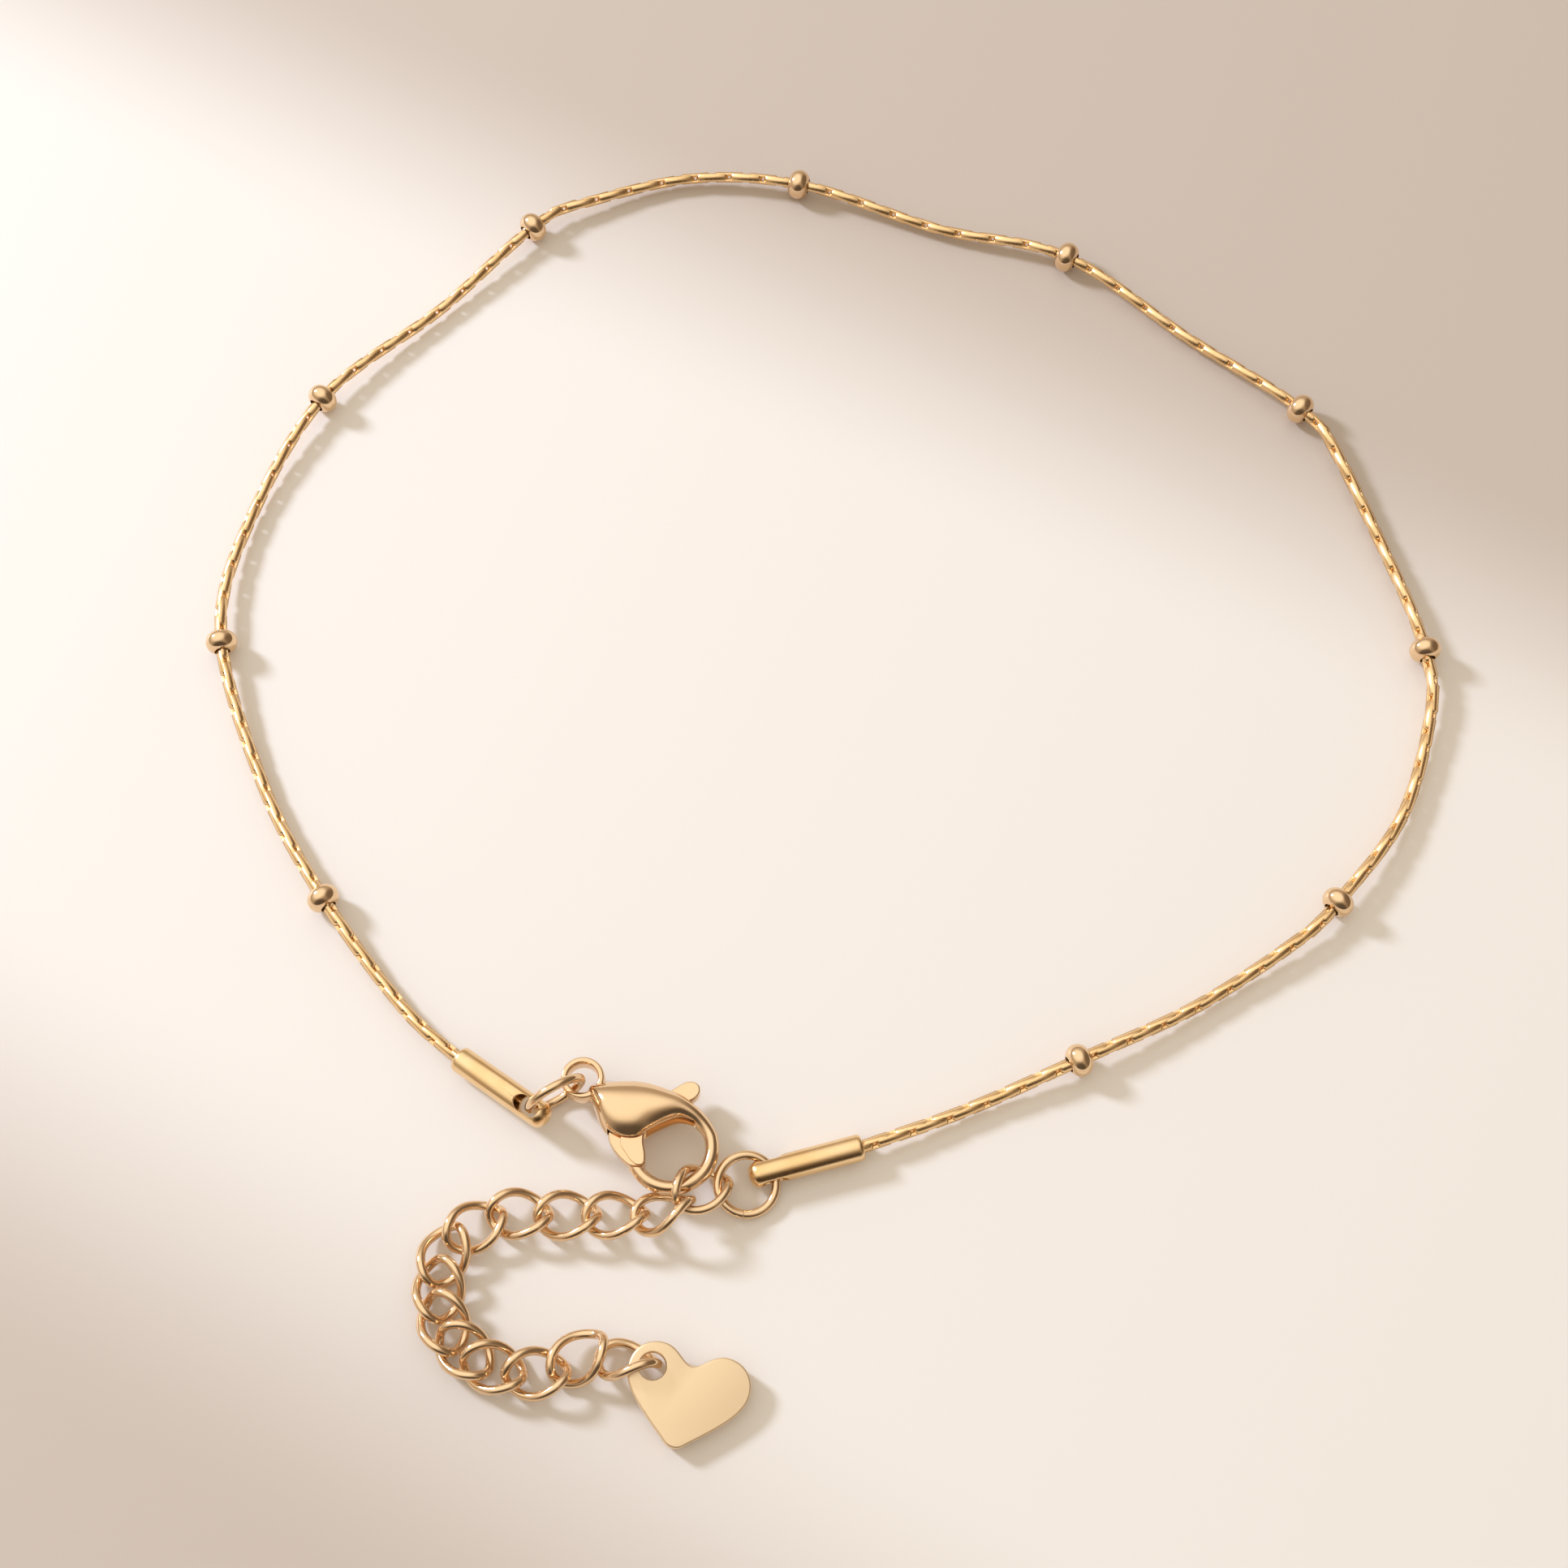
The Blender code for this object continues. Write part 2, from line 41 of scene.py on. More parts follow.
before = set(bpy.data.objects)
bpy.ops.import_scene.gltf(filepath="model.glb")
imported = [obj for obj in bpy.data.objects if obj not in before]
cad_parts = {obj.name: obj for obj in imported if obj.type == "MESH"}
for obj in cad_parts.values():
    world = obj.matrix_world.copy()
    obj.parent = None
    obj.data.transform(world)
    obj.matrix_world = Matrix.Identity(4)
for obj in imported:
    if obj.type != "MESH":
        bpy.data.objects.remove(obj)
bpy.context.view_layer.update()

MM = 0.001
UP = Vector((0, 0, 1))

# Route of the fine chain in metres between the two tubes' mouths, anticlockwise from the right tube
CHAIN_ROUTE = [
    (0.0079, -0.0237), (0.0152, -0.0205), (0.0221, -0.0172), (0.0286, -0.0130), (0.0314, -0.0104),
    (0.0359, -0.0046), (0.0383, 0.0023), (0.0384, 0.0065), (0.0369, 0.0128), (0.0342, 0.0208),
    (0.0320, 0.0245), (0.0250, 0.0303), (0.0168, 0.0368), (0.0083, 0.0393), (-0.0010, 0.0427),
    (-0.0089, 0.0435), (-0.0160, 0.0414), (-0.0193, 0.0395), (-0.0254, 0.0330), (-0.0329, 0.0257),
    (-0.0372, 0.0164), (-0.0383, 0.0080), (-0.0350, -0.0021), (-0.0307, -0.0099), (-0.0252, -0.0172),
]

# Where the loose pieces lie: x, y, z in millimetres, then heading, pitch and roll in degrees. A ring's
# place is its middle, a tube's the middle of its eyelet
TUBE_PLACES = {
    "end_tube_right": (-3.10, -27.25, 0.82, 195.3, 0, 82),
    "end_tube_left": (-17.37, -23.59, 1.45, -36.5, 6.6, 15),
}
RING_PLACES = [
    (-4.57, -28.07, 0.78, 9, -6, 13),
    (-15.83, -22.92, 2.01, 30, -6, 94),
]
FIRST_LINK = (-7.23, -28.42)

# Each link of the extender: the step in x and y from the link before in shares of the inner length, its
# middle's height in millimetres, then heading, pitch and roll in degrees
LINK_STEPS = [
    (0.000, 0.000, 1.43, 27, -26, -3),
    (-0.717, -0.450, 1.36, 18, 12, -36),
    (-0.923, -0.053, 0.98, 2, 1, -18),
    (-0.933, 0.003, 0.86, 0, 1, -9),
    (-0.937, 0.023, 0.90, -4, 1, -4),
    (-0.847, -0.240, 0.90, 30, -4, 1),
    (-0.567, -0.550, 0.85, 69, 2, 0),
    (-0.073, -0.677, 0.84, 90, 3, 2),
    (0.123, -0.643, 0.84, 108, 3, 0),
    (0.423, -0.540, 0.82, 136, 3, 0),
    (0.560, -0.317, 0.82, 161, 2, 0),
    (0.827, -0.117, 0.92, 182, 0, 0),
    (0.790, 0.293, 1.10, 216, -13, 5),
    (0.930, -0.067, 1.20, 171, -16, 41),
]

# The heart's hole from the last link's middle in millimetres, then heading, pitch and roll in degrees
HEART_ON_LINK = (1.42, -0.35, 0.10, -12.6, -7.2, 6.5)
# That hole from the heart's tip in millimetres
HEART_HOLE_PLACE = (-2.19, 4.1)

# The middle of the clasp's hook in millimetres; what follows is in hook radii from there
HOOK_PLACE = (-8.95, -26.11)
HOOK_RADIUS = 0.00236
EYE_PLACE = (-2.25, 1.77)
PIVOT = (-0.72, 1.08)

# Clasp body: its outer edge, its inner edge, and its share of the height
BODY_SECTIONS = [
    ((-1.98, 1.62), (-2.12, 1.40), 0.38),
    ((-1.87, 1.64), (-1.97, 1.05), 0.62),
    ((-1.66, 1.69), (-1.72, 0.48), 0.86),
    ((-1.31, 1.72), (-1.33, 0.19), 0.98),
    ((-0.90, 1.72), (-0.87, 0.15), 1.00),
    ((-0.49, 1.64), (-0.51, 0.38), 0.98),
    ((-0.08, 1.49), (-0.16, 0.57), 0.92),
    ((0.32, 1.30), (0.15, 0.68), 0.80),
    ((0.67, 1.02), (0.43, 0.62), 0.64),
    ((0.92, 0.73), (0.64, 0.46), 0.46),
]
HOOK_ARC = (20.0, -126.0)
HOOK_END = [((-0.90, -0.75), (-0.585, -0.58)), ((-1.055, -0.52), (-0.61, -0.55))]
SLOT_OUTLINE = [
    (-1.60, -0.30), (0.50, -0.30), (0.58, 0.60), (0.50, 0.85), (0.62, 1.00), (0.90, 1.60), (0.20, 2.30),
    (-0.50, 1.95), (-0.52, 1.55), (-0.72, 1.56), (-1.00, 1.50), (-1.28, 1.35), (-1.50, 1.10), (-1.60, 0.50),
]

# Lever seen from above: gate tip, gate, arm, thumb tab and back along the outer side. The raised tongue
# leaves a narrow step along the gate's outer side
LEVER_OUTLINE = [
    (-1.05, -0.455), (-0.88, -0.490), (-0.73, -0.485), (-0.65, -0.40), (-0.650, -0.15), (-0.70, 0.12),
    (-0.66, 0.40), (-0.52, 0.72), (-0.20, 0.93), (0.14, 1.06), (0.45, 1.19), (0.60, 1.29), (0.68, 1.42),
    (0.67, 1.57), (0.57, 1.67), (0.43, 1.70), (0.28, 1.66), (0.08, 1.54), (-0.22, 1.37), (-0.50, 1.38),
    (-0.72, 1.43), (-0.95, 1.38), (-1.22, 1.14), (-1.47, 0.82), (-1.56, 0.46), (-1.545, 0.14),
    (-1.33, -0.20),
]
TONGUE_OUTLINE = [
    (-0.88, -0.450), (-0.79, -0.470), (-0.71, -0.445), (-0.67, -0.36), (-0.675, -0.15), (-0.72, 0.12),
    (-0.72, 0.50), (-0.90, 0.80), (-1.15, 0.60), (-1.27, 0.12), (-1.15, -0.14), (-1.01, -0.34),
]

# Half of the heart's edge in shares of its half width and its height up from the tip, as cubic curves
HEART_CURVES = [
    ((0.00, 0.835), (0.16, 0.835), (0.27, 1.00), (0.53, 1.00), 16),
    ((0.53, 1.00), (0.80, 1.00), (1.00, 0.875), (1.00, 0.70), 16),
    ((1.00, 0.70), (1.00, 0.47), (0.58, 0.27), (0.14, 0.03), 20),
    ((0.14, 0.03), (0.10, 0.01), (0.05, 0.00), (0.00, 0.00), 6),
]

# Painted shade in the floor's colour: the way it deepens in, and where it starts and is full along that way
# in metres
FLOOR_PAINTED_SHADES = [((0.46, 0.89), 0.018, 0.039), ((-0.52, -0.85), 0.033, 0.058)]
# How far the painted shade darkens the floor's colour
FLOOR_PAINTED_SHADE_TINT = (0.66, 0.60, 0.55)

# The even light on the floor, then what the metal mirrors: a wall, and over it parts as (towards, degrees
# from there where it starts and is full, colour), for the bright ceiling and the dark in front and right
SKY = (0.747, 0.672, 0.570)
ROOM_WALL = (0.48, 0.38, 0.28)
ROOM_PARTS = [
    ((-0.32, 0.22, 0.92), 62, 18, (1.28, 1.20, 1.07)),
    ((0.0, -1.0, 0.12), 58, 26, (0.045, 0.027, 0.016)),
    ((0.9, 0.1, 0.2), 60, 26, (0.14, 0.09, 0.055)),
]

# The soft lamp from the upper left, and the camera where the photograph was taken from
WINDOW_PLACE = (-0.45, 0.26, 0.30)
WINDOW_SIZE = 0.11
WINDOW_POWER = 3.0
WINDOW_COLOUR = (0.75, 0.82, 1.0)
CAMERA_PLACE = (-0.0024, -0.0709, 0.1537)
CAMERA_TARGET = (-0.0024, -0.0021, 0.0)
CAMERA_LENS = 61.8
FLOOR_SIZE = 1.5

# Each metal's light and deep colour, its least and most roughness, and how far its polishing lines and
# its grain lift the surface
METALS = {
    "polished_gold": ("gold", "gold_deep", (0.13, 0.22), 0.10, 0.06),
    "chain_gold": ("chain", "gold_deep", (0.20, 0.36), 0.22, 0.22),
    "brushed_gold": ("gold", "gold_deep", (0.15, 0.27), 0.30, 0.12),
    "heart_gold": ("heart", "heart_deep", (0.14, 0.20), 0.06, 0.03),
}

# How many points or steps each curve and section is made of
ROUTE_STEPS = 24
LINK_POINTS = 10
STRIP_POINTS = 6
BEAD_SIDES = 64
BEAD_ARC_POINTS = 24
TUBE_SIDES = 64
TUBE_RIM_STEPS = 8
TUBE_DOME_STEPS = 12
WIRE_SIDES = 20
WIRE_LOOP_POINTS = 65
HOOK_STEPS = 12
BODY_STEPS = 4
BODY_SIDES = 48
EYE_STEPS = 64
EYE_SIDES = 32
PIN_HOLE_SIDES = 32
HEART_HOLE_SIDES = 64

# Shares and fullness of small forms
BEAD_LIP = 0.12
DOME_LENGTH = 0.80
DOME_FULLNESS = 0.85
EYE_FULLNESS = 3.4

# Where rings and links were closed, in degrees
RING_SEAM = 255.0
LINK_SEAM = 195.0

# Rounded edges in metres, and the angles in degrees past which a piece's edges stay sharp
EYELET_EDGE = 0.00005
BODY_EDGE = 0.00008
LEVER_EDGE = 0.00011
TONGUE_EDGE = 0.00005
HOLE_EDGE = 0.00006
CHAIN_SHARP = 65.0
ROUND_SHARP = 60.0
CLASP_SHARP = 50.0
PLATE_SHARP = 10.5

BEADS = [f"bead_{number:02d}" for number in range(1, 11)]
LINKS = [f"extender_link_{number:02d}" for number in range(1, 15)]


def length_prop(name, description, default):
    return FloatProperty(
        name=name, description=description, default=default, unit="LENGTH", precision=5
    )


def angle_prop(name, description, degrees):
    return FloatProperty(
        name=name, description=description, default=math.radians(degrees), subtype="ANGLE"
    )


def colour_prop(name, description, default):
    return FloatVectorProperty(
        name=name, description=description, default=default, size=3, min=0.0, max=1.0, subtype="COLOR"
    )


class ChainSizes(bpy.types.PropertyGroup):
    """Fine chain, beads and end tubes."""

    pitch: length_prop("Link pitch", "From one bar link's middle to the next", 0.00118)
    link_length: length_prop("Link length", "Outer length of a bar link", 0.00223)
    thickness: length_prop("Chain thickness", "Outer height of a bar link", 0.00070)
    strip_width: length_prop("Strip width", "Width of the flat strip that a bar link is bent from", 0.00056)
    strip_thickness: length_prop("Strip thickness", "Thickness of that strip", 0.00027)
    turn_start: angle_prop("Turn at the start", "Roll of the chain at the right tube", 45)
    turn_end: angle_prop("Turn at the end", "Roll of the chain at the left tube", 34)
    sag: length_prop("Sag", "How far the chain hangs down midway between two beads", 0.00035)
    in_tube: length_prop("Chain in tube", "How deep the chain goes into each tube", 0.0011)
    bead_count: IntProperty(name="Beads", description="How many beads are threaded on", default=10, min=2)
    bead_diameter: length_prop("Bead diameter", "Outer diameter of a bead", 0.0020)
    bead_width: length_prop("Bead width", "Length of a bead along the chain", 0.00135)
    bore_clearance: length_prop("Bore clearance", "Room round the chain in a tube", 0.00011)
    bead_bore: length_prop("Bead bore", "Diameter of the hole through a bead", 0.00086)
    first_bead: length_prop("First bead", "From the right tube's mouth to the first bead", 0.0140)
    last_bead: length_prop("Last bead", "From the last bead to the left tube's mouth", 0.0135)
    tube_diameter: length_prop("Tube diameter", "Outer diameter of an end tube", 0.0016)
    tube_length: length_prop("Tube length", "Length of an end tube", 0.0069)
    tube_bore: length_prop("Tube bore depth", "How deep the tube's bore is", 0.0064)
    tube_rim: length_prop("Tube rim", "Length of the rounding at a tube's mouth", 0.00030)
    eyelet_length: length_prop("Eyelet length", "Length of the slot through a tube's end", 0.00178)
    eyelet_width: length_prop("Eyelet width", "Width of the slot through a tube's end", 0.00100)
    eyelet_inset: length_prop("Eyelet inset", "From the tube's end to the slot", 0.00052)


class TrimSizes(bpy.types.PropertyGroup):
    """Rings, extender links, clasp and heart."""

    wire: length_prop("Wire diameter", "Wire of the jump rings and the extender", 0.00055)
    ring_diameter: length_prop("Ring diameter", "Outer diameter of a jump ring", 0.0040)
    link_length: length_prop("Link length", "Outer length of an extender link", 0.00410)
    link_width: length_prop("Link width", "Outer width of an extender link", 0.00315)
    link_twist: angle_prop("Link twist", "Twist of each end of an extender link", 42)
    seam: length_prop("Seam gap", "Gap where a ring or a link was closed", 0.00004)
    clasp_height: length_prop("Clasp height", "Greatest height of the clasp's body", 0.0030)
    hook_width: length_prop("Hook width", "Width of the hook seen from above", 0.00084)
    hook_height: length_prop("Hook height", "Height of the hook's section", 0.00105)
    eye_diameter: length_prop("Eye diameter", "Outer diameter of the clasp's eye", 0.00264)
    eye_wall: length_prop("Eye wall", "Thickness of the eye seen from above", 0.00045)
    eye_height: length_prop("Eye height", "Height of the eye's section", 0.00120)
    lever_thickness: length_prop("Lever thickness", "Thickness of the lever", 0.00110)
    lever_step: length_prop("Lever step", "How far the gate's outer strip lies below its tongue", 0.00018)
    lever_clearance: length_prop("Lever clearance", "Room above and below the lever in its slot", 0.00010)
    pin_diameter: length_prop("Pin diameter", "Diameter of the hidden pin", 0.00060)
    pin_clearance: length_prop("Pin clearance", "Room round the pin", 0.00008)
    heart_width: length_prop("Heart width", "Width of the heart charm", 0.0071)
    heart_height: length_prop("Heart height", "Height of the heart charm from cleft side to tip", 0.00555)
    heart_thickness: length_prop("Heart thickness", "Thickness of the heart charm", 0.00090)
    heart_edge: length_prop("Heart edge", "Radius of the heart's rounded edge", 0.00013)
    heart_hole: length_prop("Heart hole", "Diameter of the hole in the heart", 0.00157)


class Finishes(bpy.types.PropertyGroup):
    """Colours of the metal and the floor."""

    gold: colour_prop("Gold", "Polished gold of the chain, tubes, rings and clasp", (0.93, 0.69, 0.40))
    gold_deep: colour_prop("Deep gold", "Gold in its darker patches", (0.88, 0.60, 0.30))
    chain: colour_prop("Chain gold", "Brighter gold of the fine chain", (0.99, 0.70, 0.38))
    heart: colour_prop("Heart gold", "Gold of the heart charm", (0.98, 0.84, 0.60))
    heart_deep: colour_prop("Deep heart gold", "Heart's gold in its darker patches", (0.97, 0.81, 0.55))
    floor: colour_prop("Floor", "Pale surface under the anklet", (0.90, 0.85, 0.79))


# Shared mesh and node helpers


def node(tree, kind, inputs=None, **settings):
    """Add a node, set its options, then link or set its inputs."""
    made = tree.nodes.new(kind)
    for key, value in settings.items():
        setattr(made, key, value)
    for key, value in (inputs or {}).items():
        if isinstance(value, bpy.types.NodeSocket):
            tree.links.new(value, made.inputs[key])
        else:
            made.inputs[key].default_value = value
    return made


def result(tree, kind, inputs=None, **settings):
    """Add a node and give its first output."""
    return node(tree, kind, inputs, **settings).outputs[0]


def maths(tree, operation, *values):
    return result(tree, "ShaderNodeMath", dict(enumerate(values)), operation=operation)


def product(tree, one, two):
    return maths(tree, "MULTIPLY", one, two)


def vector(tree, **parts):
    return result(tree, "ShaderNodeCombineXYZ", parts)


def smooth_between(a, b, c, d, t):
    """A value of the smooth curve from b to c."""
    return 0.5 * (
        2 * b + (c - a) * t + (2 * a - 5 * b + 4 * c - d) * t**2 + (3 * b - a - 3 * c + d) * t**3
    )


def add_rings(bm, rings, closed=False):
    """Skin a list of point rings; open ends get a flat cap."""
    loops = [[bm.verts.new(point) for point in ring] for ring in rings]
    pairs = list(zip(loops, loops[1:]))
    if closed:
        pairs.append((loops[-1], loops[0]))
    for one, two in pairs:
        for i in range(len(one)):
            j = (i + 1) % len(one)
            bm.faces.new((one[i], one[j], two[j], two[i]))
    if not closed:
        bm.faces.new(loops[0][::-1])
        bm.faces.new(loops[-1])


def rounded_section(middle, across, half_width, half_height, sides, fullness=2.0):
    """An oval ring of points; fullness over 2 squares it up."""
    points = []
    power = 2 / fullness
    for i in range(sides):
        angle = 2 * math.pi * i / sides
        c, s = math.cos(angle), math.sin(angle)
        wide = half_width * math.copysign(abs(c) ** power, c)
        high = half_height * math.copysign(abs(s) ** power, s)
        points.append(middle + across * wide + UP * high)
    return points


def turn_matrix(heading, pitch, roll):
    """Roll about X, then lift the X end by the pitch, then turn to the heading."""
    return (
        Matrix.Rotation(math.radians(heading), 4, "Z")
        @ Matrix.Rotation(-math.radians(pitch), 4, "Y")
        @ Matrix.Rotation(math.radians(roll), 4, "X")
    )


def place_matrix(place):
    """A place given by its row of millimetres and degrees."""
    x, y, z, heading, pitch, roll = place
    return Matrix.Translation(Vector((x, y, z)) * MM) @ turn_matrix(heading, pitch, roll)


def link_object(name, data):
    thing = bpy.data.objects.new(name, data)
    bpy.context.scene.collection.objects.link(thing)
    return thing


def new_object(name, bm):
    bmesh.ops.recalc_face_normals(bm, faces=bm.faces)
    mesh = bpy.data.meshes.new(name)
    bm.to_mesh(mesh)
    bm.free()
    return link_object(name, mesh)


def skinned(name, rings, closed=False):
    bm = bmesh.new()
    add_rings(bm, rings, closed)
    return new_object(name, bm)


def prism(name, outline, low, high):
    return skinned(name, [[Vector((x, y, z)) for x, y in outline] for z in (low, high)])


def cylinder(name, radius, length, sides, middle=(0, 0, 0)):
    bm = bmesh.new()
    bmesh.ops.create_cone(
        bm, cap_ends=True, segments=sides, radius1=radius, radius2=radius, depth=length,
        matrix=Matrix.Translation(middle),
    )
    return new_object(name, bm)


def boolean(thing, tool, operation="DIFFERENCE"):
    modifier = thing.modifiers.new(tool.name, "BOOLEAN")
    modifier.operation = operation
    modifier.object = tool
    modifier.solver = "EXACT"


def bevel(thing, width, degrees, segments):
    modifier = thing.modifiers.new("edges", "BEVEL")
    modifier.width = width
    modifier.segments = segments
    modifier.limit_method = "ANGLE"
    modifier.angle_limit = math.radians(degrees)


def settle(thing, name, sharp, helpers=()):
    """Turn a piece and its modifiers into a plain smooth mesh object at the origin."""
    depsgraph = bpy.context.evaluated_depsgraph_get()
    mesh = bpy.data.meshes.new_from_object(thing.evaluated_get(depsgraph), depsgraph=depsgraph)
    mesh.transform(thing.matrix_world)
    for used in (thing, *helpers):
        bpy.data.objects.remove(used, do_unlink=True)
    mesh.name = name
    mesh.shade_smooth()
    mesh.set_sharp_from_angle(angle=math.radians(sharp))
    return link_object(name, mesh)


def finish(piece, material, nodes, body="anklet"):
    """Give a piece its material, hang it under its body's empty, and hide the CAD nodes that it replaces.
    """
    piece.data.materials.clear()
    piece.data.materials.append(material)
    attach(piece, body)
    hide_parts(*nodes)


# Gold and floor materials


def metal(context, name="polished_gold"):
    """Polished plating: slow colour patches, fine polishing lines, and a faint grain in the surface."""
    found = bpy.data.materials.get(name)
    if found:
        return found
    colours = context.scene.anklet_finishes
    light, deep, roughness, scratch, grain = METALS[name]
    material = bpy.data.materials.new(name)
    material.use_nodes = True
    tree = material.node_tree
    shader = tree.nodes["Principled BSDF"]
    shader.inputs["Metallic"].default_value = 1.0
    spot = node(tree, "ShaderNodeTexCoord").outputs["Object"]
    patches = node(
        tree, "ShaderNodeTexNoise", {"Vector": spot, "Scale": 420.0, "Detail": 3.0, "Roughness": 0.55}
    ).outputs["Fac"]
    colour = node(tree, "ShaderNodeValToRGB", {"Fac": patches})
    colour.color_ramp.elements[0].position = 0.30
    colour.color_ramp.elements[0].color = (*getattr(colours, deep), 1.0)
    colour.color_ramp.elements[1].position = 0.62
    colour.color_ramp.elements[1].color = (*getattr(colours, light), 1.0)
    tree.links.new(colour.outputs["Color"], shader.inputs["Base Color"])
    stretched = node(
        tree, "ShaderNodeMapping", {"Vector": spot, "Rotation": (0.0, 0.0, 0.6), "Scale": (1.0, 7.0, 2.5)}
    ).outputs["Vector"]
    lines = node(
        tree, "ShaderNodeTexNoise", {"Vector": stretched, "Scale": 5200.0, "Detail": 4.0, "Roughness": 0.6}
    ).outputs["Fac"]
    grit = node(
        tree, "ShaderNodeTexNoise", {"Vector": spot, "Scale": 15000.0, "Detail": 2.0, "Roughness": 0.7}
    ).outputs["Fac"]
    gloss = node(
        tree, "ShaderNodeMapRange",
        {"Value": lines, "From Min": 0.3, "From Max": 0.7, "To Min": roughness[0], "To Max": roughness[1]},
    ).outputs["Result"]
    tree.links.new(gloss, shader.inputs["Roughness"])
    surface = maths(tree, "MULTIPLY_ADD", lines, scratch, product(tree, grit, grain))
    bump = node(tree, "ShaderNodeBump", {"Height": surface, "Strength": 1.0, "Distance": 0.00001})
    tree.links.new(bump.outputs["Normal"], shader.inputs["Normal"])
    return material


def floor_material(colour):
    """A smooth pale board with soft shade painted into its colour at two corners."""
    material = bpy.data.materials.new("pale_floor")
    material.use_nodes = True
    tree = material.node_tree
    shader = tree.nodes["Principled BSDF"]
    shader.inputs["Roughness"].default_value = 0.6
    spot = node(tree, "ShaderNodeTexCoord").outputs["Object"]
    painted_shades = []
    for way, start, full in FLOOR_PAINTED_SHADES:
        along = node(tree, "ShaderNodeVectorMath", {0: spot, 1: (*way, 0.0)}, operation="DOT_PRODUCT")
        painted_shades.append(node(
            tree, "ShaderNodeMapRange",
            {"Value": along.outputs["Value"], "From Min": start, "From Max": full},
            interpolation_type="SMOOTHSTEP",
        ).outputs["Result"])
    # Painted shade: the floor's colour darkens towards two corners
    ramp = node(tree, "ShaderNodeValToRGB", {"Fac": maths(tree, "MAXIMUM", *painted_shades)})
    ramp.color_ramp.elements[0].color = (*colour, 1.0)
    ramp.color_ramp.elements[1].color = (*(part * dim for part, dim in zip(colour, FLOOR_PAINTED_SHADE_TINT)), 1.0)
    tree.links.new(ramp.outputs["Color"], shader.inputs["Base Color"])
    return material


# Fine chain and beads, by geometry nodes along the chain's route


def tube_axis(name):
    heading, pitch = TUBE_PLACES[name][3:5]
    return turn_matrix(heading, pitch, 0) @ Vector((1, 0, 0))


def tube_mouth(name, sizes):
    """The eyelet's middle is a tube's place; its mouth lies this far back from there."""
    middle = sizes.tube_length - sizes.eyelet_inset - sizes.eyelet_length / 2
    return Vector(TUBE_PLACES[name][:3]) * MM - tube_axis(name) * middle


def chain_line(sizes):
    """The chain's middle line, from inside one tube to inside the other."""
    height = sizes.bead_diameter / 2
    route = [Vector((x, y, height)) for x, y in CHAIN_ROUTE]
    route = [tube_mouth("end_tube_right", sizes), *route, tube_mouth("end_tube_left", sizes)]
    start = route[0] + tube_axis("end_tube_right") * sizes.in_tube
    end = route[-1] + tube_axis("end_tube_left") * sizes.in_tube
    points = [start, *route, end]
    line = [start]
    for a, b, c, d in zip(points, points[1:], points[2:], points[3:]):
        line += [smooth_between(a, b, c, d, step / ROUTE_STEPS) for step in range(ROUTE_STEPS)]
    return sagged([*line, route[-1], end], sizes)


def line_length(line):
    return sum((b - a).length for a, b in zip(line, line[1:]))


def bead_stops(whole, sizes):
    """How far along the chain each bead sits."""
    first = sizes.in_tube + sizes.first_bead
    last = whole - sizes.in_tube - sizes.last_bead
    return [first + (last - first) * i / (sizes.bead_count - 1) for i in range(sizes.bead_count)]


def sagged(line, sizes):
    """The line with each stretch between two beads, or a bead and a tube, hanging down a little."""
    whole = line_length(line)
    stops = [sizes.in_tube, *bead_stops(whole, sizes), whole - sizes.in_tube]
    run = 0.0
    lowered = [line[0]]
    for before, point in zip(line, line[1:]):
        run += (point - before).length
        drop = 0.0
        for a, b in zip(stops, stops[1:]):
            if a < run < b:
                drop = sizes.sag * math.sin(math.pi * (run - a) / (b - a)) ** 2
        lowered.append(point - UP * drop)
    return lowered


def line_object(name, line):
    mesh = bpy.data.meshes.new(name)
    mesh.from_pydata(line, [(i, i + 1) for i in range(len(line) - 1)], [])
    return link_object(name, mesh)


def new_tree(name, labels):
    """A geometry node tree with its geometry sockets and its named inputs."""
    tree = bpy.data.node_groups.new(name, "GeometryNodeTree")
    tree.interface.new_socket("Geometry", in_out="INPUT", socket_type="NodeSocketGeometry")
    tree.interface.new_socket("Geometry", in_out="OUTPUT", socket_type="NodeSocketGeometry")
    for label in labels:
        kind = "NodeSocketInt" if label == "Count" else "NodeSocketFloat"
        tree.interface.new_socket(label, in_out="INPUT", socket_type=kind)
    return tree, tree.nodes.new("NodeGroupInput").outputs


def close_tree(tree, points, instance, rotation):
    """Copy a shape to the points and make it real."""
    copies = result(
        tree, "GeometryNodeInstanceOnPoints",
        {"Points": points, "Instance": instance, "Rotation": rotation},
    )
    real = result(tree, "GeometryNodeRealizeInstances", {"Geometry": copies})
    node(tree, "NodeGroupOutput", {"Geometry": real})


def run_tree(thing, tree, values):
    """Put the tree on an object and set its inputs by their identifiers."""
    modifier = thing.modifiers.new(tree.name, "NODES")
    modifier.node_group = tree
    for item in tree.interface.items_tree:
        if item.in_out == "INPUT" and item.name in values:
            modifier[item.identifier] = values[item.name]


def route_points(tree, given):
    """Points spread evenly along the route, with the chain's axes, their number and share of the way."""
    route = result(tree, "GeometryNodeMeshToCurve", {"Mesh": given["Geometry"]})
    index = result(tree, "GeometryNodeInputIndex")
    distance = maths(tree, "MULTIPLY_ADD", index, given["Spacing"], given["First"])
    sample = node(
        tree, "GeometryNodeSampleCurve", {"Curves": route, "Length": distance},
        mode="LENGTH", use_all_curves=True,
    ).outputs
    points = result(tree, "GeometryNodePoints", {"Count": given["Count"], "Position": sample["Position"]})
    axes = result(
        tree, "FunctionNodeAxesToRotation",
        {"Primary Axis": sample["Tangent"], "Secondary Axis": (0.0, 0.0, 1.0)},
        primary_axis="X", secondary_axis="Z",
    )
    whole = result(tree, "GeometryNodeCurveLength", {"Curve": route})
    return points, axes, index, maths(tree, "DIVIDE", distance, whole)


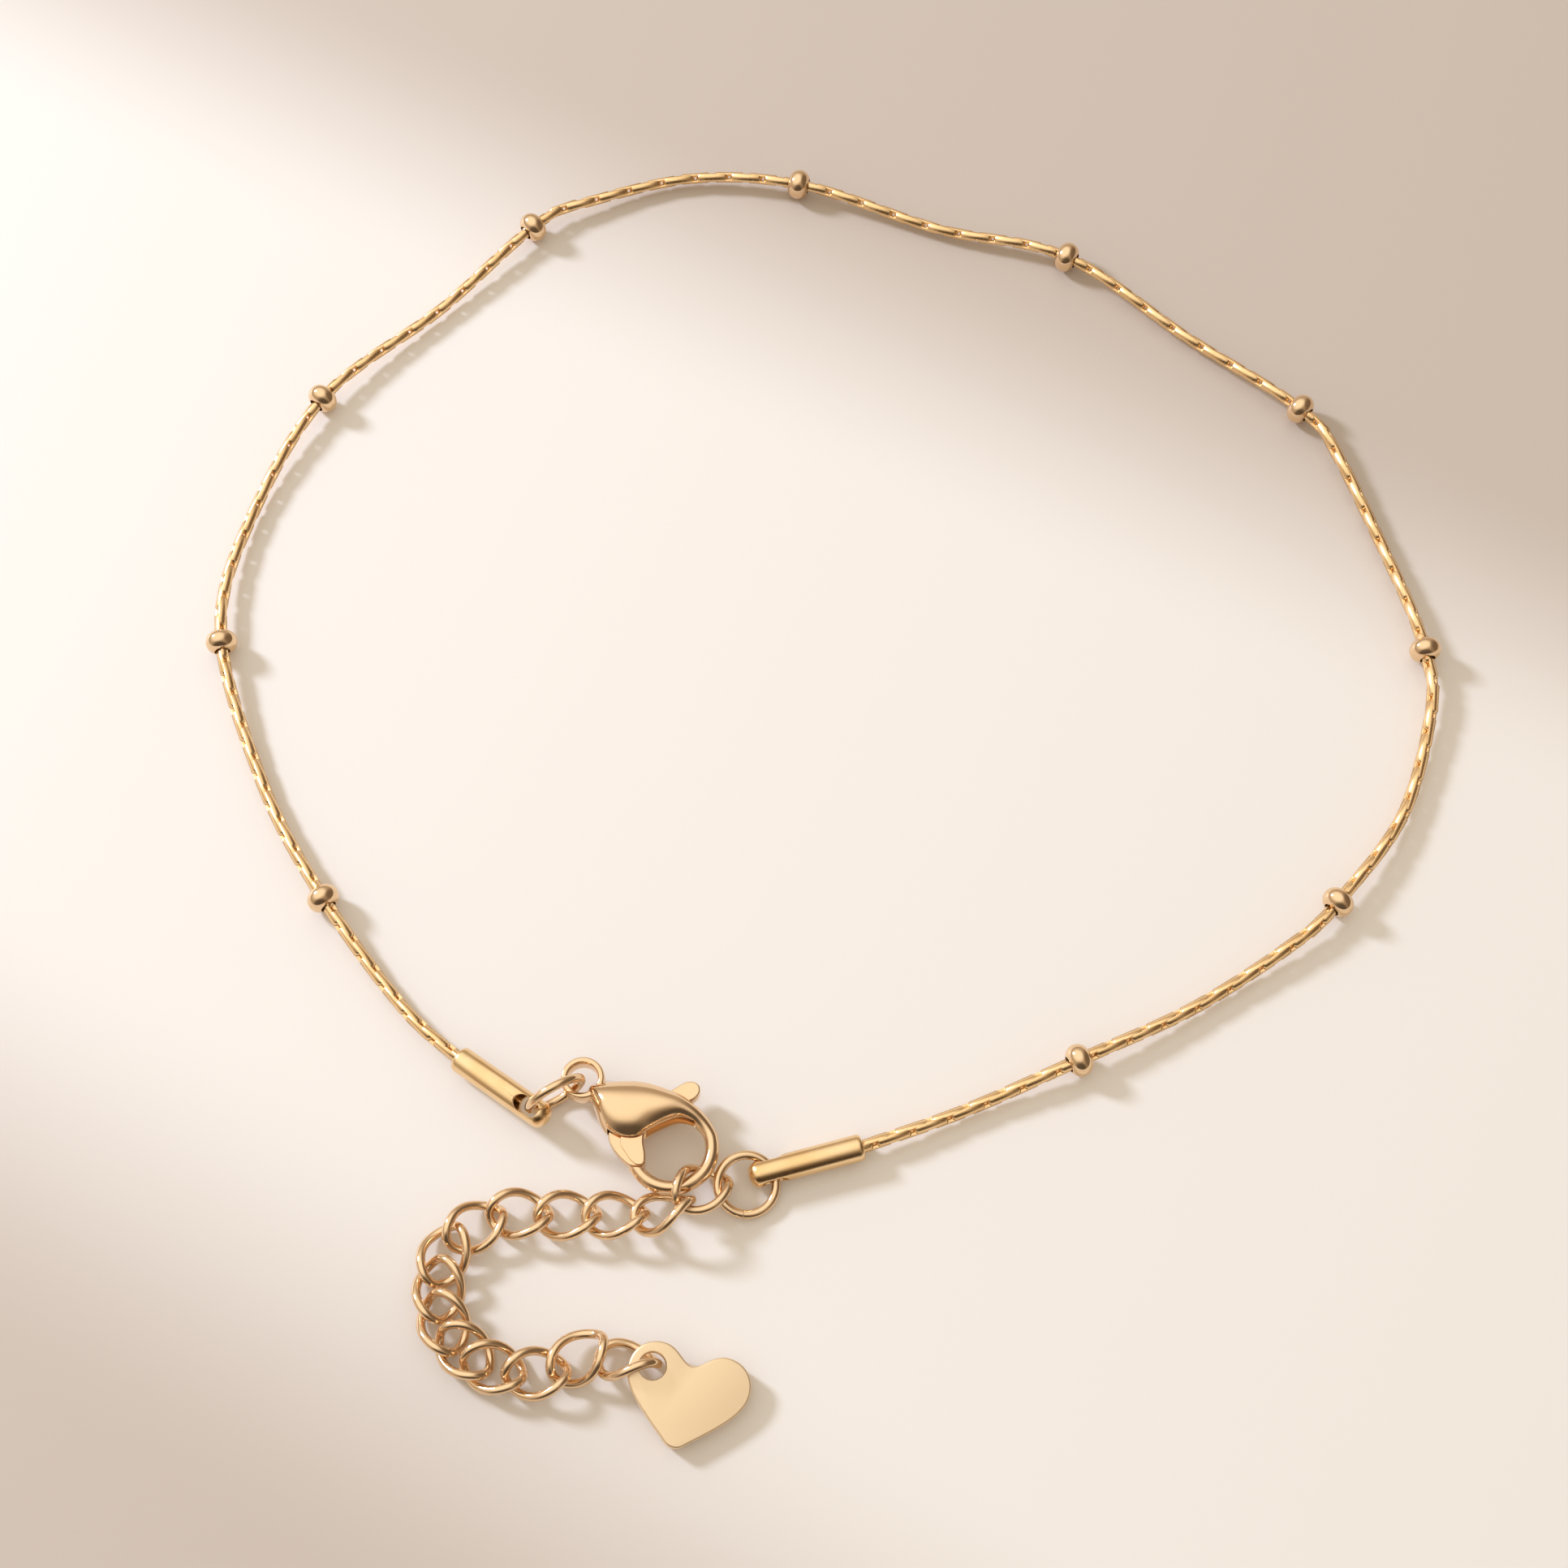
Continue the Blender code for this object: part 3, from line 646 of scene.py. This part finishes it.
def chain_tree():
    """Flat bar links bent from strip, each turned a quarter turn from the last."""
    tree, given = new_tree("fine_chain_links", [
        "Count", "First", "Spacing", "Link Length", "Link Height", "Strip Width", "Strip Thickness",
        "Turn Start", "Turn End",
    ])
    points, axes, index, share = route_points(tree, given)
    position = result(tree, "GeometryNodeInputPosition")
    spot = node(tree, "ShaderNodeSeparateXYZ", {"Vector": position}).outputs
    side = maths(tree, "SIGN", spot["X"])
    # The highest points of a ring of LINK_POINTS and of one of STRIP_POINTS, in radii
    link_top = math.sin(math.radians(72.0))
    strip_top = math.cos(math.pi / 6)
    height = maths(tree, "SUBTRACT", given["Link Height"], given["Strip Thickness"])
    length = maths(tree, "SUBTRACT", given["Link Length"], given["Strip Thickness"])
    straight = product(tree, maths(tree, "SUBTRACT", length, height), 0.5)
    stretched = vector(
        tree, X=maths(tree, "MULTIPLY_ADD", side, straight, spot["X"]),
        Y=maths(tree, "DIVIDE", spot["Y"], link_top),
    )
    radius = product(tree, height, 0.5)
    loop = result(
        tree, "GeometryNodeCurvePrimitiveCircle", {"Resolution": LINK_POINTS, "Radius": radius}
    )
    loop = result(tree, "GeometryNodeSetPosition", {"Geometry": loop, "Position": stretched})
    squared = maths(tree, "POWER", maths(tree, "ABSOLUTE", spot["X"]), 0.5)
    flat = vector(
        tree, X=product(tree, product(tree, squared, side), product(tree, given["Strip Width"], 0.5)),
        Y=product(tree, spot["Y"], maths(tree, "DIVIDE", given["Strip Thickness"], 2 * strip_top)),
    )
    strip = result(tree, "GeometryNodeCurvePrimitiveCircle", {"Resolution": STRIP_POINTS, "Radius": 1.0})
    strip = result(tree, "GeometryNodeSetPosition", {"Geometry": strip, "Position": flat})
    strip = result(tree, "GeometryNodeTransform", {"Geometry": strip, "Rotation": (0.0, 0.0, math.pi / 2)})
    link = result(tree, "GeometryNodeCurveToMesh", {"Curve": loop, "Profile Curve": strip})
    quarter = product(tree, maths(tree, "MODULO", index, 2.0), math.pi / 2)
    spread = maths(tree, "SUBTRACT", given["Turn End"], given["Turn Start"])
    turn = maths(tree, "MULTIPLY_ADD", spread, share, given["Turn Start"])
    roll = result(
        tree, "FunctionNodeAxisAngleToRotation",
        {"Axis": (1.0, 0.0, 0.0), "Angle": maths(tree, "SUBTRACT", quarter, turn)},
    )
    rotation = result(
        tree, "FunctionNodeRotateRotation", {"Rotation": axes, "Rotate By": roll}, rotation_space="LOCAL"
    )
    close_tree(tree, points, link, rotation)
    return tree


def bead_tree():
    """Smooth round rondelles: an arc swept round the bore."""
    tree, given = new_tree("threaded_beads", ["Count", "First", "Spacing", "Diameter", "Width", "Bore"])
    points, axes, _, _ = route_points(tree, given)
    wall = product(tree, maths(tree, "SUBTRACT", given["Diameter"], given["Bore"]), 0.5)
    bore = product(tree, given["Bore"], 0.5)
    sweep = result(tree, "GeometryNodeCurvePrimitiveCircle", {"Resolution": BEAD_SIDES, "Radius": bore})
    half = product(tree, given["Width"], 0.5)
    lip = product(tree, wall, BEAD_LIP)
    outer = result(tree, "GeometryNodeCurveArc", {
        "Resolution": BEAD_ARC_POINTS, "Start": vector(tree, X=lip, Y=product(tree, half, -1.0)),
        "Middle": vector(tree, X=wall), "End": vector(tree, X=lip, Y=half),
    }, mode="POINTS")
    outline = result(tree, "GeometryNodeSetSplineCyclic", {"Geometry": outer, "Cyclic": True})
    bead = result(tree, "GeometryNodeCurveToMesh", {"Curve": sweep, "Profile Curve": outline})
    bead = result(tree, "GeometryNodeTransform", {"Geometry": bead, "Rotation": (0.0, math.pi / 2, 0.0)})
    close_tree(tree, points, bead, axes)
    return tree


class ANKLET_OT_fine_chain(bpy.types.Operator):
    """Lay the fine bar-link chain along its route"""

    bl_idname = "anklet.fine_chain"
    bl_label = "Fine Chain"

    def execute(self, context):
        sizes = context.scene.anklet_chain
        line = chain_line(sizes)
        count = int(line_length(line) / sizes.pitch)
        route = line_object("chain_route", line)
        run_tree(route, chain_tree(), {
            "Count": count, "First": (line_length(line) - (count - 1) * sizes.pitch) / 2,
            "Spacing": sizes.pitch, "Link Length": sizes.link_length, "Link Height": sizes.thickness,
            "Strip Width": sizes.strip_width, "Strip Thickness": sizes.strip_thickness,
            "Turn Start": sizes.turn_start, "Turn End": sizes.turn_end,
        })
        chain = settle(route, "fine_chain_links", CHAIN_SHARP)
        finish(chain, metal(context, "chain_gold"), ["fine_chain"])
        return {"FINISHED"}


def bore_radius(sizes):
    """The chain's corners need this much room in a tube."""
    return sizes.thickness / math.sqrt(2) + sizes.bore_clearance


class ANKLET_OT_beads(bpy.types.Operator):
    """Thread the ten rondelle beads on the chain"""

    bl_idname = "anklet.beads"
    bl_label = "Beads"

    def execute(self, context):
        sizes = context.scene.anklet_chain
        line = chain_line(sizes)
        first, second = bead_stops(line_length(line), sizes)[:2]
        route = line_object("bead_route", line)
        run_tree(route, bead_tree(), {
            "Count": sizes.bead_count, "First": first, "Spacing": second - first,
            "Diameter": sizes.bead_diameter, "Width": sizes.bead_width, "Bore": sizes.bead_bore,
        })
        beads = settle(route, "rondelle_beads", ROUND_SHARP)
        finish(beads, metal(context), BEADS)
        return {"FINISHED"}


# End tubes


def tube_profile(sizes):
    """Bore, rounded rim, straight wall and a domed end, as (x, radius)."""
    radius, bore = sizes.tube_diameter / 2, bore_radius(sizes)
    lip_step = sizes.tube_rim / 6
    lip = bore + lip_step
    profile = [(sizes.tube_bore, 0.0), (sizes.tube_bore, bore), (lip_step, bore)]
    profile += [
        (sizes.tube_rim * (1 - math.cos(a)), lip + (radius - lip) * math.sin(a))
        for a in (math.pi / 2 * i / TUBE_RIM_STEPS for i in range(TUBE_RIM_STEPS + 1))
    ]
    end = sizes.tube_length - radius * DOME_LENGTH
    profile += [
        (end + radius * DOME_LENGTH * math.sin(a), radius * math.cos(a) ** DOME_FULLNESS)
        for a in (math.pi / 2 * i / TUBE_DOME_STEPS for i in range(TUBE_DOME_STEPS))
    ]
    return [*profile, (sizes.tube_length, 0.0)]


def eyelet_outline(sizes, steps=14):
    """A slot with round ends near the closed end of a tube."""
    radius = sizes.eyelet_width / 2
    far = sizes.tube_length - sizes.eyelet_inset - radius
    near = far - (sizes.eyelet_length - sizes.eyelet_width)
    arcs = [(near, 90 + 180 * i / steps) for i in range(steps + 1)]
    arcs += [(far, -90 + 180 * i / steps) for i in range(steps + 1)]
    return [(x + radius * math.cos(math.radians(a)), radius * math.sin(math.radians(a))) for x, a in arcs]


def lathe(profile, sides):
    """A solid turned about X from its (x, radius) points, whose first and last are its poles."""
    bm = bmesh.new()
    steps = [2 * math.pi * i / sides for i in range(sides)]
    loops = [
        [bm.verts.new((x, r * math.sin(a), r * math.cos(a))) for a in steps] for x, r in profile[1:-1]
    ]
    for one, two in zip(loops, loops[1:]):
        for i in range(sides):
            j = (i + 1) % sides
            bm.faces.new((one[i], one[j], two[j], two[i]))
    for pole_at, loop in ((profile[0][0], loops[0]), (profile[-1][0], loops[-1])):
        pole = bm.verts.new((pole_at, 0, 0))
        for i in range(sides):
            bm.faces.new((loop[i], loop[(i + 1) % sides], pole))
    return bm


class ANKLET_OT_end_tubes(bpy.types.Operator):
    """Fit the two end tubes with their eyelets"""

    bl_idname = "anklet.end_tubes"
    bl_label = "End Tubes"

    def execute(self, context):
        sizes = context.scene.anklet_chain
        for name, place in TUBE_PLACES.items():
            tube = new_object(name + "_blank", lathe(tube_profile(sizes), TUBE_SIDES))
            reach = sizes.tube_diameter
            tool = prism(name + "_eyelet", eyelet_outline(sizes), -reach, reach)
            mouth = tube_mouth(name, sizes) / MM
            for thing in (tube, tool):
                thing.matrix_world = place_matrix((*mouth, *place[3:]))
            boolean(tube, tool)
            bevel(tube, EYELET_EDGE, degrees=40.0, segments=2)
            piece = settle(tube, name + "_shell", ROUND_SHARP, helpers=[tool])
            finish(piece, metal(context, "brushed_gold"), [name])
        return {"FINISHED"}


# Jump rings and extender, by geometry nodes on points that hold each loop's turn


def wire_tree():
    """Wire bent into an oval, its ends twisted opposite ways, with a fine seam where it was closed."""
    tree, given = new_tree("wire_loops", ["Length", "Width", "Wire", "Twist", "Seam Angle", "Seam Gap"])
    half_length = product(tree, maths(tree, "SUBTRACT", given["Length"], given["Wire"]), 0.5)
    half_width = product(tree, maths(tree, "SUBTRACT", given["Width"], given["Wire"]), 0.5)
    gap = maths(tree, "DIVIDE", given["Seam Gap"], half_width)
    start = maths(tree, "MULTIPLY_ADD", gap, 0.5, given["Seam Angle"])
    sweep = maths(tree, "SUBTRACT", 2 * math.pi, gap)
    arc = result(
        tree, "GeometryNodeCurveArc",
        {"Resolution": WIRE_LOOP_POINTS, "Radius": 1.0, "Start Angle": start, "Sweep Angle": sweep},
        mode="RADIUS",
    )
    position = result(tree, "GeometryNodeInputPosition")
    spot = node(tree, "ShaderNodeSeparateXYZ", {"Vector": position}).outputs
    twist = product(tree, product(tree, spot["X"], given["Twist"]), -1.0)
    off = product(tree, spot["Y"], half_width)
    bent = vector(
        tree, X=product(tree, spot["X"], half_length),
        Y=product(tree, off, maths(tree, "COSINE", twist)),
        Z=product(tree, off, maths(tree, "SINE", twist)),
    )
    line = result(tree, "GeometryNodeSetPosition", {"Geometry": arc, "Position": bent})
    radius = product(tree, given["Wire"], 0.5)
    wire = result(tree, "GeometryNodeCurvePrimitiveCircle", {"Resolution": WIRE_SIDES, "Radius": radius})
    loop = result(
        tree, "GeometryNodeCurveToMesh", {"Curve": line, "Profile Curve": wire, "Fill Caps": True}
    )
    turn = result(tree, "GeometryNodeInputNamedAttribute", {"Name": "turn"}, data_type="FLOAT_VECTOR")
    rotation = result(tree, "FunctionNodeEulerToRotation", {"Euler": turn})
    close_tree(tree, given["Geometry"], loop, rotation)
    return tree


def placed_points(name, places):
    """One vertex at each place with its turn as an attribute."""
    matrices = [place_matrix(place) for place in places]
    mesh = bpy.data.meshes.new(name)
    mesh.from_pydata([matrix.translation for matrix in matrices], [], [])
    turn = mesh.attributes.new("turn", "FLOAT_VECTOR", "POINT")
    for item, matrix in zip(turn.data, matrices):
        item.vector = matrix.to_euler()
    return link_object(name, mesh)


def link_places(sizes):
    """Each link's place: the links hang on each other, so a step follows their inner length."""
    inner = (sizes.link_length - 2 * sizes.wire) / MM
    x, y = FIRST_LINK
    places = []
    for step_x, step_y, *rest in LINK_STEPS:
        x += step_x * inner
        y += step_y * inner
        places.append((x, y, *rest))
    return places


class ANKLET_OT_jump_rings(bpy.types.Operator):
    """Hang the two round jump rings"""

    bl_idname = "anklet.jump_rings"
    bl_label = "Jump Rings"

    def execute(self, context):
        sizes = context.scene.anklet_trim
        points = placed_points("ring_points", RING_PLACES)
        run_tree(points, wire_tree(), {
            "Length": sizes.ring_diameter, "Width": sizes.ring_diameter, "Wire": sizes.wire,
            "Seam Angle": math.radians(RING_SEAM), "Seam Gap": sizes.seam,
        })
        rings = settle(points, "jump_rings", ROUND_SHARP)
        finish(rings, metal(context), ["jump_ring_right", "jump_ring_left"])
        return {"FINISHED"}


class ANKLET_OT_extender(bpy.types.Operator):
    """Hang the extender's fourteen curb links from the right ring"""

    bl_idname = "anklet.extender"
    bl_label = "Extender"

    def execute(self, context):
        sizes = context.scene.anklet_trim
        points = placed_points("link_points", link_places(sizes))
        run_tree(points, wire_tree(), {
            "Length": sizes.link_length, "Width": sizes.link_width, "Wire": sizes.wire,
            "Twist": sizes.link_twist, "Seam Angle": math.radians(LINK_SEAM), "Seam Gap": sizes.seam,
        })
        links = settle(points, "extender_links", ROUND_SHARP)
        finish(links, metal(context), LINKS)
        return {"FINISHED"}


# Clasp


def in_clasp(point, sizes):
    """A place at half the clasp's height, given in hook radii from the hook's middle."""
    x, y = (middle * MM + part * HOOK_RADIUS for middle, part in zip(HOOK_PLACE, point))
    return Vector((x, y, sizes.clasp_height / 2))


def clasp_outline(outline, sizes):
    return [in_clasp(point, sizes).xy for point in outline]


def smooth_outline(outline, steps=5):
    """A closed outline rounded into a smooth curve through its points."""
    points = [Vector(point) for point in outline]
    count = len(points)
    rounded = []
    for i in range(count):
        a, b, c, d = (points[(i + j - 1) % count] for j in range(4))
        rounded += [smooth_between(a, b, c, d, step / steps) for step in range(steps)]
    return rounded


def body_spans(sizes):
    """Sections of the clasp's body and hook as (outer, inner, height), with smooth steps between them."""
    spans = [
        (Vector(outer), Vector(inner), share * sizes.clasp_height) for outer, inner, share in BODY_SECTIONS
    ]
    half = sizes.hook_width / 2 / HOOK_RADIUS
    root, end = HOOK_ARC
    for step in range(HOOK_STEPS + 1):
        angle = math.radians(root + (end - root) * step / HOOK_STEPS)
        across = Vector((math.cos(angle), math.sin(angle)))
        spans.append((across * (1 + half), across * (1 - half), sizes.hook_height))
    spans += [(Vector(outer), Vector(inner), sizes.hook_height) for outer, inner in HOOK_END]
    fine = []
    for i in range(len(spans) - 1):
        four = [spans[min(max(i + j - 1, 0), len(spans) - 1)] for j in range(4)]
        for step in range(BODY_STEPS):
            share = step / BODY_STEPS
            fine.append(tuple(smooth_between(*(span[k] for span in four), share) for k in range(3)))
    return [*fine, spans[-1]]


def body_rings(sizes):
    rings = []
    for outer, inner, height in body_spans(sizes):
        one, two = in_clasp(outer, sizes), in_clasp(inner, sizes)
        half = (one - two).length / 2
        across = (one - two).normalized()
        rings.append(rounded_section((one + two) / 2, across, half, height / 2, BODY_SIDES))
    return rings


def eye_rings(sizes):
    middle = in_clasp(EYE_PLACE, sizes)
    radius = (sizes.eye_diameter - sizes.eye_wall) / 2
    rings = []
    for i in range(EYE_STEPS):
        angle = 2 * math.pi * i / EYE_STEPS
        across = Vector((math.cos(angle), math.sin(angle), 0))
        rings.append(rounded_section(
            middle + across * radius, across, sizes.eye_wall / 2, sizes.eye_height / 2, EYE_SIDES,
            EYE_FULLNESS,
        ))
    return rings


class ANKLET_OT_clasp(bpy.types.Operator):
    """Form the lobster clasp's body, hook and eye, with the slot for its lever"""

    bl_idname = "anklet.clasp"
    bl_label = "Clasp Body"

    def execute(self, context):
        sizes = context.scene.anklet_trim
        body = skinned("clasp_blank", body_rings(sizes))
        eye = skinned("clasp_eye", eye_rings(sizes), closed=True)
        boolean(body, eye, "UNION")
        middle = sizes.clasp_height / 2
        half_slot = sizes.lever_thickness / 2 + sizes.lever_clearance
        outline = clasp_outline(SLOT_OUTLINE, sizes)
        slot = prism("lever_slot", outline, middle - half_slot, middle + half_slot)
        boolean(body, slot)
        bevel(body, BODY_EDGE, degrees=40.0, segments=3)
        piece = settle(body, "clasp_shell", CLASP_SHARP, helpers=[eye, slot])
        finish(piece, metal(context), ["clasp_body"])
        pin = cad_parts["clasp_pin"]
        pin.data.materials.clear()
        pin.data.materials.append(metal(context))
        return {"FINISHED"}


def inset(outline, amount):
    """The clockwise outline moved inwards."""
    moved = []
    for i, (x, y) in enumerate(outline):
        before = Vector(outline[i - 1])
        after = Vector(outline[(i + 1) % len(outline)])
        along = (after - before).normalized()
        moved.append((x + along.y * amount, y - along.x * amount))
    return moved


def rounded_plate(name, outline, low, high, edge, steps=8):
    """A flat plate with rounded upper and lower edges, from its clockwise outline."""
    levels = []
    for i in range(steps + 1):
        angle = math.pi / 2 * (1 - i / steps)
        levels.append((edge * (1 - math.cos(angle)), edge * (1 - math.sin(angle))))
    levels = [(gap, low + up) for gap, up in levels] + [(gap, high - up) for gap, up in levels[::-1]]
    return skinned(name, [[Vector((x, y, z)) for x, y in inset(outline, gap)] for gap, z in levels])


class ANKLET_OT_lever(bpy.types.Operator):
    """Fit the sprung lever on its pin, with its gate and thumb tab"""

    bl_idname = "anklet.lever"
    bl_label = "Lever"

    def execute(self, context):
        sizes = context.scene.anklet_trim
        middle = sizes.clasp_height / 2
        half = sizes.lever_thickness / 2
        plate = smooth_outline(clasp_outline(LEVER_OUTLINE, sizes))[::-1]
        top = middle + half
        lever = rounded_plate("lever_blank", plate, middle - half, top - sizes.lever_step, LEVER_EDGE)
        raised = smooth_outline(clasp_outline(TONGUE_OUTLINE, sizes))[::-1]
        tongue = rounded_plate("lever_tongue", raised, middle, top, TONGUE_EDGE)
        boolean(lever, tongue, "UNION")
        radius = sizes.pin_diameter / 2 + sizes.pin_clearance
        hole = cylinder("pin_hole", radius, sizes.clasp_height, PIN_HOLE_SIDES, in_clasp(PIVOT, sizes))
        boolean(lever, hole)
        piece = settle(lever, "clasp_gate_lever", PLATE_SHARP, helpers=[hole, tongue])
        finish(piece, metal(context), ["clasp_lever"], body="clasp_gate")
        return {"FINISHED"}


# Heart


def cubic(a, b, c, d, t):
    return a * (1 - t) ** 3 + 3 * b * t * (1 - t) ** 2 + 3 * c * t**2 * (1 - t) + d * t**3


def heart_outline(sizes, hole):
    """The heart's edge clockwise from the cleft, about the hole's middle."""
    half = []
    for a, b, c, d, steps in HEART_CURVES:
        for step in range(steps):
            x, y = (cubic(p, q, r, s, step / steps) for p, q, r, s in zip(a, b, c, d))
            half.append((x * sizes.heart_width / 2, y * sizes.heart_height))
    whole = [*half, (0.0, 0.0), *[(-x, y) for x, y in half[:0:-1]]]
    return [(x - hole[0], y - hole[1]) for x, y in whole]


class ANKLET_OT_heart(bpy.types.Operator):
    """Press the flat heart charm with its rounded edge and hole"""

    bl_idname = "anklet.heart"
    bl_label = "Heart Charm"

    def execute(self, context):
        sizes = context.scene.anklet_trim
        outline = heart_outline(sizes, [part * MM for part in HEART_HOLE_PLACE])
        half = sizes.heart_thickness / 2
        heart = rounded_plate("heart_blank", outline, -half, half, sizes.heart_edge)
        depth = 4 * sizes.heart_thickness
        hole = cylinder("heart_hole", sizes.heart_hole / 2, depth, HEART_HOLE_SIDES)
        last = link_places(sizes)[-1][:3]
        place = [a + b for a, b in zip(last, HEART_ON_LINK)] + list(HEART_ON_LINK[3:])
        for thing in (heart, hole):
            thing.matrix_world = place_matrix(place)
        boolean(heart, hole)
        bevel(heart, HOLE_EDGE, degrees=60.0, segments=3)
        piece = settle(heart, "heart_pendant", PLATE_SHARP, helpers=[hole])
        finish(piece, metal(context, "heart_gold"), ["heart_charm"])
        return {"FINISHED"}


# Stage


def sky_light():
    """An even pale light for the floor; the metal mirrors a bright ceiling over a warm dark room."""
    world = bpy.data.worlds.new("studio")
    bpy.context.scene.world = world
    world.use_nodes = True
    tree = world.node_tree
    tree.nodes.clear()
    way = node(tree, "ShaderNodeTexCoord").outputs["Generated"]

    def reach(toward, far, near):
        """Rises from 0 to 1 as the way turns towards a direction, between two angles from it."""
        turn = node(
            tree, "ShaderNodeVectorMath", {0: way, 1: Vector(toward).normalized()}, operation="DOT_PRODUCT"
        ).outputs["Value"]
        far, near = (math.cos(math.radians(angle)) for angle in (far, near))
        return node(
            tree, "ShaderNodeMapRange", {"Value": turn, "From Min": far, "From Max": near},
            interpolation_type="SMOOTHSTEP",
        ).outputs["Result"]

    shade = (*ROOM_WALL, 1.0)
    for toward, far, near, colour in ROOM_PARTS:
        parts = {0: reach(toward, far, near), 6: shade, 7: (*colour, 1.0)}
        shade = node(tree, "ShaderNodeMix", parts, data_type="RGBA").outputs[2]
    room = node(tree, "ShaderNodeBackground", {"Color": shade})
    even = node(tree, "ShaderNodeBackground", {"Color": (*SKY, 1.0)})
    gloss = node(tree, "ShaderNodeLightPath").outputs["Is Glossy Ray"]
    both = node(tree, "ShaderNodeMixShader", {0: gloss})
    tree.links.new(even.outputs[0], both.inputs[1])
    tree.links.new(room.outputs[0], both.inputs[2])
    node(tree, "ShaderNodeOutputWorld", {"Surface": both.outputs[0]})


def window_lamp():
    light = bpy.data.lights.new("window", "AREA")
    light.shape = "DISK"
    light.size = WINDOW_SIZE
    light.energy = WINDOW_POWER
    light.color = WINDOW_COLOUR
    lamp = link_object("window", light)
    lamp.location = WINDOW_PLACE
    lamp.rotation_euler = Vector(WINDOW_PLACE).to_track_quat("Z", "Y").to_euler()


def photo_camera():
    camera = link_object("camera", bpy.data.cameras.new("camera"))
    camera.data.lens = CAMERA_LENS
    camera.data.sensor_width = 36.0
    camera.data.clip_start = 0.01
    camera.data.clip_end = 10.0
    camera.location = CAMERA_PLACE
    aim = camera.location - Vector(CAMERA_TARGET)
    camera.rotation_euler = aim.to_track_quat("Z", "Y").to_euler()
    bpy.context.scene.camera = camera


class ANKLET_OT_stage(bpy.types.Operator):
    """Set out the pale floor, the soft light and the camera"""

    bl_idname = "anklet.stage"
    bl_label = "Stage"

    def execute(self, context):
        bm = bmesh.new()
        bmesh.ops.create_grid(bm, x_segments=1, y_segments=1, size=FLOOR_SIZE)
        floor = new_object("pale_floor", bm)
        floor.data.materials.append(floor_material(context.scene.anklet_finishes.floor))
        context.scene.view_settings.view_transform = "Standard"
        sky_light()
        window_lamp()
        photo_camera()
        return {"FINISHED"}


STEPS = [
    ANKLET_OT_stage, ANKLET_OT_fine_chain, ANKLET_OT_beads, ANKLET_OT_end_tubes, ANKLET_OT_jump_rings,
    ANKLET_OT_extender, ANKLET_OT_clasp, ANKLET_OT_lever, ANKLET_OT_heart,
]


class ANKLET_PT_panel(bpy.types.Panel):
    """Buttons for each piece, in the order that they are made"""

    bl_label = "Charm Anklet"
    bl_idname = "ANKLET_PT_panel"
    bl_space_type = "VIEW_3D"
    bl_region_type = "UI"
    bl_category = "Anklet"

    def draw(self, context):
        for step in STEPS:
            self.layout.operator(step.bl_idname)


CLASSES = [ChainSizes, TrimSizes, Finishes, *STEPS, ANKLET_PT_panel]


def register():
    for item in CLASSES:
        bpy.utils.register_class(item)
    bpy.types.Scene.anklet_chain = PointerProperty(type=ChainSizes)
    bpy.types.Scene.anklet_trim = PointerProperty(type=TrimSizes)
    bpy.types.Scene.anklet_finishes = PointerProperty(type=Finishes)


def unregister():
    del bpy.types.Scene.anklet_finishes
    del bpy.types.Scene.anklet_trim
    del bpy.types.Scene.anklet_chain
    for item in reversed(CLASSES):
        bpy.utils.unregister_class(item)


def main():
    register()
    bpy.ops.anklet.stage()
    bpy.ops.anklet.fine_chain()
    bpy.ops.anklet.beads()
    bpy.ops.anklet.end_tubes()
    bpy.ops.anklet.jump_rings()
    bpy.ops.anklet.extender()
    bpy.ops.anklet.clasp()
    bpy.ops.anklet.lever()
    bpy.ops.anklet.heart()


if __name__ == "__main__":
    main()
